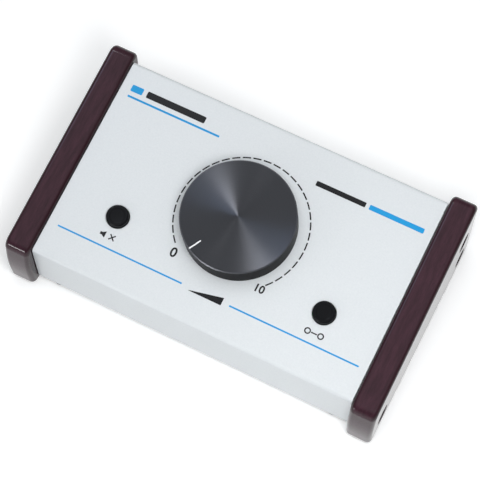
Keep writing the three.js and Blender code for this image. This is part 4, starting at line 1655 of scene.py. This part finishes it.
@dataclass(frozen=True)
class PanelPrint:
    """The printed scale, lines and signs. They are plain figures and shapes, with no words."""

    film: float = 0.03
    sunk: float = 0.01
    ring_centre: tuple[float, float] = (0.14, 1.5)
    ring_radius: float = 28.3
    ring_line: float = 0.6
    dash_count: int = 30
    dash_degrees: float = 6.9
    first_dash_degrees: float = -40.2
    last_dash_degrees: float = 219.4
    figures: tuple[tuple[str, tuple[float, float], float], ...] = (
        ("0", (-19.4, -21.8), 4.2),
        ("10", (19.0, -20.4), 3.4),
    )
    figure_height_share: float = 0.73
    figure_boldness: float = 0.13
    wedge_place: tuple[float, float] = (0.2, -31.6)
    wedge_length: float = 15.5
    wedge_height: float = 3.4
    wedge_tip: float = 0.1
    wedge_heel: float = 0.2
    mute: LoudspeakerSign = LoudspeakerSign()
    mono: TwoRingSign = TwoRingSign()
    bar_rounding_share: float = 0.16
    black_bars: tuple[Bar, ...] = (Bar((-47.2, 34.9), 27.5, 3.0), Bar((31.5, 30.1), 22.4, 2.2))
    blue_bars: tuple[Bar, ...] = (
        Bar((-39.2, -31.9), 57.6, 0.7),
        Bar((40.1, -31.9), 57.8, 0.7),
        Bar((-65.6, 34.9), 5.4, 3.0),
        Bar((-46.6, 31.0), 43.2, 0.9),
        Bar((56.6, 30.1), 24.4, 2.2),
    )

    def build(self, layout: Layout) -> None:
        """Prints everything that is black, then everything that is blue.

        Args:
            layout: The housing's sizes and faces.
        """
        black = [*self.ring()]
        black += [self.figure(text, Vector(middle), height) for text, middle, height in self.figures]
        black += [self.wedge(), *self.mute_sign(), *self.mono_sign()]
        black += [self.bar(bar) for bar in self.black_bars]
        blue = [self.bar(bar) for bar in self.blue_bars]
        black_part = Part("panel_print_black", Body.HOUSING, Slot.BLACK_INK, BLACK_INK)
        blue_part = Part("panel_print_blue", Body.HOUSING, Slot.BLUE_INK, BLUE_INK)
        for pieces, part in ((black, black_part), (blue, blue_part)):
            deliver(gather(pieces), part, layout.panel)

    def film_of(self, points: Sequence[Vector]) -> bpy.types.Object:
        """Prints the area inside a closed outline."""
        return prism("print", points, -self.sunk, self.film)

    def bar(self, bar: Bar) -> bpy.types.Object:
        """Prints a straight bar with softly rounded ends."""
        rounding = bar.width * self.bar_rounding_share
        return self.film_of(rectangle(bar.length, bar.width, rounding, Vector(bar.middle)))

    def ring(self) -> Iterator[bpy.types.Object]:
        """Prints the dashes of the volume scale.

        Yields:
            Each dash.
        """
        inner = self.ring_radius - self.ring_line / 2
        outer = self.ring_radius + self.ring_line / 2
        half = math.radians(self.dash_degrees) / 2
        angles = [half * share for share in (-1, -0.5, 0, 0.5, 1)]
        section = [Vector((outer * math.cos(a), outer * math.sin(a))) for a in angles]
        section += [Vector((inner * math.cos(a), inner * math.sin(a))) for a in reversed(angles)]
        pitch = (self.last_dash_degrees - self.first_dash_degrees) / (self.dash_count - 1)
        for index in range(self.dash_count):
            turn = math.radians(self.first_dash_degrees + index * pitch)
            place = Matrix.Translation((*self.ring_centre, 0)) @ Matrix.Rotation(turn, 4, "Z")
            yield move(self.film_of(section), place)

    def figure(self, text: str, middle: Vector, height: float) -> bpy.types.Object:
        """Prints a number.

        Args:
            text: The number.
            middle: Its middle.
            height: How high it is.

        Returns:
            The print.
        """
        bpy.ops.object.select_all(action="DESELECT")
        bpy.ops.object.text_add()
        piece = bpy.context.object
        piece.data.body = text
        piece.data.size = height / self.figure_height_share
        piece.data.offset = self.figure_boldness
        piece.data.extrude = (self.film + self.sunk) / 2
        piece.data.align_x = "CENTER"
        piece.data.align_y = "CENTER"
        bpy.ops.object.convert(target="MESH")
        face_outwards(piece)
        return move(piece, Matrix.Translation((*middle, (self.film - self.sunk) / 2)))

    def wedge(self) -> bpy.types.Object:
        """Prints the rising wedge that stands for loudness.

        Returns:
            The print.
        """
        right, top = self.wedge_length / 2, self.wedge_height / 2
        corners = [
            Corner(-right, -top, self.wedge_tip),
            Corner(right, -top, self.wedge_heel),
            Corner(right, top, self.wedge_heel),
        ]
        return self.film_of([point + Vector(self.wedge_place) for point in follow(corners, closed=True)])

    def mute_sign(self) -> Iterator[bpy.types.Object]:
        """Prints a loudspeaker and a cross beside it.

        Yields:
            The loudspeaker, then the cross.
        """
        sign = self.mute
        corners = [
            Corner(sign.back, -sign.magnet_half),
            Corner(sign.throat, -sign.magnet_half),
            Corner(sign.mouth, -sign.mouth_half, sign.rounding),
            Corner(sign.mouth, sign.mouth_half, sign.rounding),
            Corner(sign.throat, sign.magnet_half),
            Corner(sign.back, sign.magnet_half),
        ]
        yield self.film_of([point + Vector(sign.place) for point in follow(corners, closed=True)])
        middle = Matrix.Translation((sign.place[0] + sign.cross_offset, sign.place[1], 0))
        arms = []
        for turn in (math.radians(45), math.radians(-45)):
            arm = self.film_of(rectangle(sign.cross_length, sign.cross_width, sign.rounding))
            arms.append(move(arm, middle @ Matrix.Rotation(turn, 4, "Z")))
        yield combine(arms[0], "UNION", arms[1:])

    def mono_sign(self) -> Iterator[bpy.types.Object]:
        """Prints two rings joined by a bar.

        Yields:
            The rings, then the bar.
        """
        sign = self.mono
        ring = [
            Corner(sign.inner, -self.sunk),
            Corner(sign.outer, -self.sunk),
            Corner(sign.outer, self.film),
            Corner(sign.inner, self.film),
            Corner(sign.inner, -self.sunk),
        ]
        for side in SIDES.values():
            place = Matrix.Translation((sign.place[0] + side * sign.offset, sign.place[1], 0))
            yield move(turned("print", ring, Steps.SMALL_HOLE), place)
        yield self.bar(Bar(sign.place, sign.link, sign.link_width))


# Rear sockets


@dataclass(frozen=True)
class Sockets:
    """The four flanged sockets: two combined inputs and two three-pin outputs."""

    flange_width: float = 26.0
    flange_height: float = 31.0
    flange_thickness: float = 1.8
    flange_corner: float = 3.0
    flange_edge: float = 0.4
    flange_edge_faces: int = 4
    tube: float = 11.7
    tube_depth: float = 24.0
    tube_edge: float = 0.3
    tube_overlap: float = 1.0
    bore: float = 9.7
    bore_chamfer: float = 0.5
    bore_rounding: float = 0.25
    seat: float = 0.05
    insert_base: float = 7.0
    nose: float = 7.8
    nose_recess: float = 1.2
    nose_root: float = 0.4
    nose_edge: float = 0.5
    jack_bore: float = 3.25
    jack_depth: float = 21.0
    jack_chamfer: float = 0.35
    jack_rounding: float = 0.1
    contact_circle: float = 5.1
    contact_hole: float = 1.35
    contact_depth: float = 12.0
    contact_lip: float = 0.15
    sleeve_wall: float = 0.25
    sleeve_mouth: float = 0.12
    sleeve_lip: float = 0.15
    sleeve_recess: float = 0.9
    pin: float = 1.2
    pin_recess: float = 2.4
    pin_length: float = 13.0
    pin_tip: float = 0.7
    pin_root: float = 2.0
    notch_width: float = 5.0
    notch_depth: float = 1.0
    notch_length: float = 5.0
    notch_rounding: float = 0.3
    fit: float = 0.3
    screw: Screw = FlatScrew(1.5, 2.6, 1.2, 6.5, CrossRecess(3.0, 0.72, 0.9))

    @property
    def face(self) -> float:
        """The height of the flange's face above the rear wall."""
        return self.seat + self.flange_thickness

    def build(self, layout: Layout) -> None:
        """Makes all four sockets.

        Args:
            layout: The housing's sizes and faces.
        """
        for name in SOCKET_NAMES:
            spot = middle_of(f"{name}_shell", layout.rear)
            place = layout.rear @ Matrix.Translation((spot.x, spot.y, 0))
            is_output = name.startswith("output")
            part = Part(f"{name}_shell_moulding", Body.HOUSING, Slot.SOCKET, NYLON, (f"{name}_shell",))
            nodes = [f"{name}_screw_{end}" for end in FLANGE_SCREW_NAMES]
            screws = {node: middle_of(node, layout.rear) - spot for node in nodes}
            deliver(self.shell(is_output, list(screws.values())), part, place)
            if is_output:
                self.add_pins(name, place)
            else:
                self.add_contacts(name, place)
            for node, offset in screws.items():
                self.set_screw(node, place @ Matrix.Translation((offset.x, offset.y, self.face)))

    def shell(self, is_output: bool, screws: Sequence[Vector]) -> bpy.types.Object:
        """Moulds a flange with its tube and cuts the bore, the screw seats and the latch's notch.

        Args:
            is_output: Whether the socket is a three-pin output, which has the notch.
            screws: Where the screws sit.

        Returns:
            The shell.
        """
        outline = rectangle(self.flange_width, self.flange_height, self.flange_corner)
        flange = prism("flange", outline, self.seat, self.face)
        with editing(flange):
            pick(flange, "EDGE", lambda edge: min(vertex.co.z for vertex in edge.verts) > self.face - MERGE)
            width, faces = self.flange_edge, self.flange_edge_faces
            bpy.ops.mesh.bevel(offset=width, segments=faces, profile=0.5, affect="EDGES")
        tube = [
            Corner(0, -self.tube_depth),
            Corner(self.tube, -self.tube_depth, self.tube_edge),
            Corner(self.tube, self.tube_overlap),
            Corner(0, self.tube_overlap),
        ]
        combine(flange, "UNION", [turned("tube", tube, Steps.SOCKET)])
        bore = [
            Corner(0, -self.tube_depth - OVERRUN),
            Corner(self.bore, -self.tube_depth - OVERRUN),
            Corner(self.bore, self.face - self.bore_chamfer, self.bore_rounding),
            Corner(self.bore + self.bore_chamfer + OVERRUN, self.face + OVERRUN),
            Corner(0, self.face + OVERRUN),
        ]
        combine(flange, "DIFFERENCE", [turned("cutter", bore, Steps.SOCKET)])
        seats = [move(self.screw_seat(), Matrix.Translation((spot.x, spot.y, self.face))) for spot in screws]
        combine(flange, "DIFFERENCE", seats)
        if is_output:
            middle = Vector((0, -self.bore))
            notch = rectangle(self.notch_width, 2 * self.notch_depth, self.notch_rounding, middle)
            cutter = prism("cutter", notch, self.face - self.notch_length, self.face + OVERRUN)
            combine(flange, "DIFFERENCE", [cutter])
        return flange

    def screw_seat(self) -> bpy.types.Object:
        """Makes the cutter of a countersunk screw's seat.

        Returns:
            The cutter, which opens at height zero.
        """
        corners = [
            Corner(0, -self.screw.length),
            Corner(self.screw.shank + self.fit, -self.screw.length),
            Corner(self.screw.shank + self.fit, -self.screw.height),
            Corner(self.screw.head + self.fit, 0),
            Corner(self.screw.head + self.fit, OVERRUN),
            Corner(0, OVERRUN),
        ]
        return turned("cutter", corners, Steps.HOLE)

    def contact_places(self) -> Iterator[Matrix]:
        """Finds the three contacts, a third of a turn apart, two above and one below.

        Yields:
            Each contact's place on the socket.
        """
        radius = self.contact_circle
        for index in range(3):
            angle = QUARTER + index * TURN / 3
            yield Matrix.Translation((radius * math.cos(angle), radius * math.sin(angle), 0))

    def add_contacts(self, name: str, place: Matrix) -> None:
        """Moulds an input's nose with its jack bore and contact holes, and lines them with metal.

        Args:
            name: The socket's name.
            place: From the socket's millimetres to metres.
        """
        front = self.face - self.nose_recess
        base = self.bore - self.fit
        step = self.insert_base - self.tube_depth
        corners = [
            Corner(0, -self.tube_depth),
            Corner(base, -self.tube_depth),
            Corner(base, step),
            Corner(self.nose, step, self.nose_root),
            Corner(self.nose, front, self.nose_edge),
            Corner(self.jack_bore + self.jack_chamfer, front, self.jack_rounding),
            Corner(self.jack_bore, front - self.jack_chamfer, self.jack_rounding),
            Corner(self.jack_bore, front - self.jack_depth),
            Corner(0, front - self.jack_depth),
        ]
        nose = turned("nose", corners, Steps.SOCKET)
        holes = []
        for spot in self.contact_places():
            hole = hole_cutter(self.contact_hole, self.contact_depth, Steps.SMALL_HOLE, self.contact_lip)
            holes.append(move(hole, Matrix.Translation((0, 0, front)) @ spot))
        combine(nose, "DIFFERENCE", holes)
        part = Part(f"{name}_nose_moulding", Body.HOUSING, Slot.SOCKET, NYLON, (f"{name}_contacts",))
        deliver(nose, part, place)
        mouth = front - self.sleeve_recess
        sleeve = [
            Corner(self.contact_hole - self.sleeve_wall, front - self.contact_depth),
            Corner(self.contact_hole, front - self.contact_depth),
            Corner(self.contact_hole, mouth),
            Corner(self.contact_hole - self.sleeve_mouth, mouth + self.sleeve_lip),
            Corner(self.contact_hole - self.sleeve_wall, mouth),
            Corner(self.contact_hole - self.sleeve_wall, front - self.contact_depth),
        ]
        sleeves = [move(turned("sleeve", sleeve, Steps.SMALL_HOLE), spot) for spot in self.contact_places()]
        part = Part(f"{name}_contact_sleeves", Body.HOUSING, Slot.CONTACT, SILVER_PLATE)
        deliver(gather(sleeves), part, place)

    def add_pins(self, name: str, place: Matrix) -> None:
        """Moulds an output's base and sets its three pins.

        Args:
            name: The socket's name.
            place: From the socket's millimetres to metres.
        """
        tip = self.face - self.pin_recess
        foot = tip - self.pin_length
        root = foot - self.pin_root
        base = [
            Corner(0, -self.tube_depth),
            Corner(self.bore - self.fit, -self.tube_depth),
            Corner(self.bore - self.fit, foot, self.tube_edge),
            Corner(0, foot),
        ]
        node = f"{name}_pins"
        part = Part(f"{name}_base_moulding", Body.HOUSING, Slot.SOCKET, NYLON, (node,))
        deliver(turned("base", base, Steps.SOCKET), part, place)
        pin = [Corner(0, root), Corner(self.pin, root), Corner(self.pin, tip, self.pin_tip), Corner(0, tip)]
        pins = [move(turned("pin", pin, Steps.SCREW), spot) for spot in self.contact_places()]
        part = Part(f"{name}_pin_set", Body.HOUSING, Slot.CONTACT, SILVER_PLATE, (node,))
        deliver(gather(pins), part, place)

    def set_screw(self, node: str, place: Matrix) -> None:
        """Sets one flange screw."""
        part = Part(f"{node}_cross_head", Body.HOUSING, Slot.BLACK_STEEL, BLACK_OXIDE, (node,))
        deliver(self.screw.model(), part, place)


@dataclass(frozen=True)
class MiniJack:
    """The small stereo jack with its threaded barrel and knurled ring nut."""

    barrel: float = 3.0
    barrel_length: float = 2.4
    bore: float = 1.8
    bore_depth: float = 13.0
    bore_lip: float = 0.25
    case_width: float = 11.0
    case_height: float = 8.0
    case_depth: float = 11.5
    case_corner: float = 0.6
    thread_pitch: float = 0.5
    thread_depth: float = 0.22
    nut: float = 4.6
    nut_thickness: float = 1.6
    nut_chamfer: float = 0.35
    nut_gap: float = 0.2
    nut_lip: float = 0.2
    knurls: int = 30
    knurl_depth: float = 0.22

    def build(self, layout: Layout) -> None:
        """Makes the jack and its nut.

        Args:
            layout: The housing's sizes and faces.
        """
        place = over("mini_jack_nut", layout.rear)
        top = -(layout.sheet + layout.seat)
        outline = rectangle(self.case_width, self.case_height, self.case_corner)
        casing = prism("case", outline, top - self.case_depth, top)
        combine(casing, "UNION", [turned("barrel", self.thread(top - layout.sheet), Steps.BARREL)])
        bore = hole_cutter(self.bore, self.bore_depth, Steps.HOLE, self.bore_lip)
        combine(casing, "DIFFERENCE", [move(bore, Matrix.Translation((0, 0, self.barrel_length)))])
        part = Part("mini_jack_moulding", Body.HOUSING, Slot.SOCKET, NYLON, ("mini_jack",))
        deliver(casing, part, place)
        node = "mini_jack_nut"
        nut = Part("mini_jack_knurled_nut", Body.HOUSING, Slot.BRIGHT_STEEL, NICKEL_PLATE, (node,))
        deliver(self.ring_nut(layout.seat), nut, place)

    def thread(self, bottom: float) -> list[Corner]:
        """Draws the barrel's section, with a thread on the stretch that stands out of the wall.

        Args:
            bottom: The height of the barrel's inner end.

        Returns:
            Its corners, from the bottom to the top.
        """
        rim = self.barrel - self.thread_depth
        corners = [Corner(0, bottom), Corner(self.barrel, bottom)]
        height = 0.0
        while height + self.thread_pitch < self.barrel_length:
            corners.append(Corner(self.barrel, height))
            corners.append(Corner(rim, height + self.thread_pitch / 2))
            height += self.thread_pitch
        end = [Corner(self.barrel, height), Corner(rim, self.barrel_length), Corner(0, self.barrel_length)]
        return [*corners, *end]

    def ring_nut(self, bottom: float) -> bpy.types.Object:
        """Makes the knurled nut.

        Args:
            bottom: The height of its underside.

        Returns:
            The nut.
        """
        count = 4 * self.knurls
        points = []
        for index in range(count):
            radius = self.nut - (self.knurl_depth if index % 4 in (2, 3) else 0)
            angle = index * TURN / count
            points.append(Vector((radius * math.cos(angle), radius * math.sin(angle))))
        top = bottom + self.nut_thickness
        nut = prism("nut", points, bottom, top)
        trim = [
            Corner(0, bottom - OVERRUN),
            Corner(self.nut + OVERRUN, bottom - OVERRUN),
            Corner(self.nut + OVERRUN, top - self.nut_chamfer - OVERRUN),
            Corner(self.nut - self.nut_chamfer, top),
            Corner(0, top),
        ]
        combine(nut, "INTERSECT", [turned("trim", trim, Steps.BARREL)])
        depth = self.nut_thickness + OVERRUN
        hole = hole_cutter(self.barrel + self.nut_gap, depth, Steps.HOLE, self.nut_lip)
        return combine(nut, "DIFFERENCE", [move(hole, Matrix.Translation((0, 0, top)))])


# Inside


@dataclass(frozen=True)
class ReturnSprings:
    """The two wound springs that push the buttons out again."""

    radius: float = 2.2
    wire: float = 0.22
    curls: int = 4
    wire_sides: int = 12
    steps_per_curl: int = 32
    travel: float = 2.0

    def build(self, layout: Layout, nodes: dict[str, bpy.types.Object]) -> None:
        """Winds both springs, each as long as its place.

        Args:
            layout: The housing's sizes and faces.
            nodes: The pieces of the construction, by name.
        """
        to_panel = layout.panel.inverted()
        up = normal_of(layout.panel)
        for side in SIDES:
            node = f"{side}_switch_spring"
            heights = [(to_panel @ vertex.co).z for vertex in nodes[node].data.vertices]
            length = max(heights) - min(heights)
            spot = middle_of(node, layout.panel)
            place = layout.panel @ Matrix.Translation((spot.x, spot.y, min(heights)))
            part = Part(f"{node}_winding", Body.HOUSING, Slot.BRIGHT_STEEL, NICKEL_PLATE, (node,))
            piece = deliver(self.winding(length), part, place)
            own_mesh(piece)

    def winding(self, length: float) -> bpy.types.Object:
        """Winds a spring of round wire round +Z.

        Args:
            length: The spring's length, from height zero.

        Returns:
            The spring.
        """
        bpy.ops.object.select_all(action="DESELECT")
        bpy.ops.mesh.primitive_circle_add(
            vertices=self.wire_sides,
            radius=self.wire,
            location=(self.radius, 0, self.wire),
            rotation=(QUARTER, 0, 0),
        )
        piece = bpy.context.object
        bpy.ops.object.transform_apply(location=True, rotation=True)
        pitch = (length - 2 * self.wire) / self.curls
        wound = {"screw_offset": pitch, "iterations": self.curls, "steps": self.steps_per_curl}
        apply_modifier(piece, "SCREW", angle=TURN, **wound)
        with editing(piece):
            bpy.ops.mesh.select_all(action="SELECT")
            bpy.ops.mesh.fill_holes(sides=self.wire_sides)
        face_outwards(piece)
        return piece


@dataclass(frozen=True)
class Interior:
    """The pieces inside the housing that keep the shapes of the construction."""

    def build(self, nodes: dict[str, bpy.types.Object]) -> None:
        """Gives each inner piece the material of the real one.

        Args:
            nodes: The pieces of the construction, by name.
        """
        bright = (NICKEL_PLATE, Slot.BRIGHT_STEEL)
        finishes = {
            "pot_case": (ZINC_PLATE, Slot.ZINC),
            "pot_shaft": bright,
            "pot_washer": bright,
            "pot_nut": bright,
            "knob_set_screw": (BLACK_OXIDE, Slot.BLACK_STEEL),
            "control_board": (SOLDER_MASK, Slot.LAMINATE),
            "connector_board": (SOLDER_MASK, Slot.LAMINATE),
            "ribbon_cable": (RIBBON_PVC, Slot.RIBBON),
        }
        for side in SIDES:
            finishes[f"{side}_switch_stem"] = (SWITCH_PBT, Slot.SWITCH)
            finishes[f"{side}_switch_body"] = (SWITCH_PBT, Slot.SWITCH)
            finishes[f"{side}_board_pillar"] = bright
            finishes[f"{side}_board_screw"] = bright
        for name, (finish, slot) in finishes.items():
            node = nodes[name]
            if not node.material_slots:
                node.data.materials.append(None)
            node.material_slots[0].material = material_of(finish)
            log.info("%s: %s", name, finish.name)


# Studio


class Effect(Enum):
    """What a lamp acts on: the matt part of each finish or its gloss."""

    MATT = "matt"
    GLOSS = "gloss"


@dataclass(frozen=True)
class Lamp:
    """A soft lamp over the table."""

    name: str
    place: tuple[float, float, float]
    aim: tuple[float, float, float]
    size: tuple[float, float]
    watts: float
    effect: Effect
    colour: str = "#ffffff"

    def hang(self) -> None:
        """Hangs the lamp and turns it to its aim."""
        light = bpy.data.lights.new(self.name, "AREA")
        light.shape = "RECTANGLE"
        light.size, light.size_y = self.size
        light.energy = self.watts
        light.color = linear(self.colour)[:3]
        lamp = bpy.data.objects.new(self.name, light)
        lamp.location = self.place
        lamp.rotation_euler = (Vector(self.aim) - Vector(self.place)).to_track_quat("-Z", "Y").to_euler()
        lamp.visible_diffuse = self.effect is Effect.MATT
        lamp.visible_glossy = self.effect is Effect.GLOSS
        bpy.context.scene.collection.objects.link(lamp)


@dataclass(frozen=True)
class Studio:
    """The pale table, the soft light and the camera. Its lengths are in metres."""

    table_size: float = 6.0
    table_colour: str = "#f4f5f5"
    table_lift: float = 0.28
    sky_colour: str = "#f7f9fc"
    sky_bands: tuple[tuple[float, float], ...] = ((0.08, 0.9), (0.22, 0.25), (0.6, 0.25), (0.88, 0.72))
    camera_place: tuple[float, float, float] = (0.130457, -0.254154, 0.686483)
    camera_degrees: tuple[float, float, float] = (23.3136, 0.1604, 26.7766)
    sensor: float = 36.0
    lens: float = 129.873
    nearest: float = 0.01
    farthest: float = 50.0
    lamps: tuple[Lamp, ...] = (
        Lamp("overhead_softbox", (0.0, 0.0, 1.0), (0, 0, 0), (0.8, 0.8), 2.1, Effect.MATT),
        Lamp("near_softbox", (0.11, -0.13, 0.35), (0.03, -0.02, 0.03), (0.12, 0.12), 0.62, Effect.MATT),
        Lamp("front_softbox", (-0.55, -0.7, 0.36), (0, 0, 0.03), (0.3, 0.2), 0.6, Effect.MATT),
        Lamp("front_reflector", (-0.27, -0.88, 0.2), (-0.04, -0.05, 0.03), (0.3, 0.1), 1.5, Effect.GLOSS),
        Lamp("knob_reflector", (-0.445, 0.343, 0.867), (0, 0, 0.05), (0.13, 0.13), 1.4, Effect.GLOSS),
        Lamp("cool_reflector", (-0.5, 0.22, 0.86), (0, 0, 0.05), (0.3, 0.2), 1.0, Effect.GLOSS, "#b4c8e8"),
    )

    def build(self) -> None:
        """Lays the table, hangs the lamps and sets up the camera."""
        self.lay_table()
        self.light_the_sky()
        for lamp in self.lamps:
            lamp.hang()
        camera = bpy.data.objects.new("camera", bpy.data.cameras.new("camera"))
        camera.data.sensor_width = self.sensor
        camera.data.lens = self.lens
        camera.data.clip_start = self.nearest
        camera.data.clip_end = self.farthest
        camera.location = self.camera_place
        camera.rotation_euler = tuple(math.radians(angle) for angle in self.camera_degrees)
        bpy.context.scene.collection.objects.link(camera)
        bpy.context.scene.camera = camera
        bpy.context.scene.view_settings.view_transform = "Standard"

    def lay_table(self) -> None:
        """Lays a white table top that keeps soft shadows and can be looked through from below."""
        bpy.ops.object.select_all(action="DESELECT")
        bpy.ops.mesh.primitive_plane_add(size=self.table_size)
        table = bpy.context.object
        table.name = "table_top"
        material = bpy.data.materials.new("white_laminate_table")
        material.use_nodes = True
        tree = material.node_tree
        tree.nodes.clear()
        rays = add_node(tree, "ShaderNodeLightPath").outputs
        shown = rays["Is Camera Ray"]
        for ray in ("Is Glossy Ray", "Is Transmission Ray"):
            shown = add_node(tree, "ShaderNodeMath", {0: shown, 1: rays[ray]}, operation="MAXIMUM").outputs[0]
        lift = add_node(tree, "ShaderNodeMath", {0: shown, 1: self.table_lift}, operation="MULTIPLY")
        matt = add_node(tree, "ShaderNodeBsdfDiffuse", {"Color": linear(self.table_colour)})
        glow = add_node(tree, "ShaderNodeEmission", {"Color": (1, 1, 1, 1), "Strength": lift.outputs[0]})
        both = add_node(tree, "ShaderNodeAddShader", {0: matt.outputs[0], 1: glow.outputs[0]})
        clear = add_node(tree, "ShaderNodeBsdfTransparent")
        under = add_node(tree, "ShaderNodeNewGeometry").outputs["Backfacing"]
        surface = add_node(tree, "ShaderNodeMixShader", {0: under, 1: both.outputs[0], 2: clear.outputs[0]})
        add_node(tree, "ShaderNodeOutputMaterial", {"Surface": surface.outputs[0]})
        table.data.materials.append(material)

    def light_the_sky(self) -> None:
        """Makes the surroundings: a white band at the horizon, a dim one above it and a bright ceiling.

        Each band is the sine of its height in the sky and its strength, and the bands blend.
        """
        world = bpy.data.worlds.new("white_surroundings")
        bpy.context.scene.world = world
        world.use_nodes = True
        tree = world.node_tree
        tree.nodes.clear()
        direction = add_node(tree, "ShaderNodeTexCoord").outputs["Generated"]
        height = add_node(tree, "ShaderNodeSeparateXYZ", {0: direction}).outputs["Z"]
        ramp = add_node(tree, "ShaderNodeValToRGB", {"Fac": height})
        ramp.color_ramp.interpolation = "EASE"
        stops = ramp.color_ramp.elements
        for place, _ in self.sky_bands[len(stops) :]:
            stops.new(place)
        for stop, (place, strength) in zip(stops, self.sky_bands):
            stop.position = place
            stop.color = (strength, strength, strength, 1.0)
        light = {"Color": linear(self.sky_colour), "Strength": ramp.outputs["Color"]}
        sky = add_node(tree, "ShaderNodeBackground", light)
        add_node(tree, "ShaderNodeOutputWorld", {"Surface": sky.outputs[0]})


def main() -> None:
    """Builds the controller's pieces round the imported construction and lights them."""
    logging.basicConfig(level=logging.INFO, format="%(message)s")
    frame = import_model()
    layout = Layout()
    Studio().build()
    assemblies = (
        BodyShell(),
        BottomTray(),
        Cheeks(),
        Feet(),
        VolumeKnob(),
        PushButtons(),
        PanelPrint(),
        Sockets(),
        MiniJack(),
    )
    for assembly in assemblies:
        assembly.build(layout)
    ReturnSprings().build(layout, frame["nodes"])
    Interior().build(frame["nodes"])


if __name__ == "__main__":
    main()
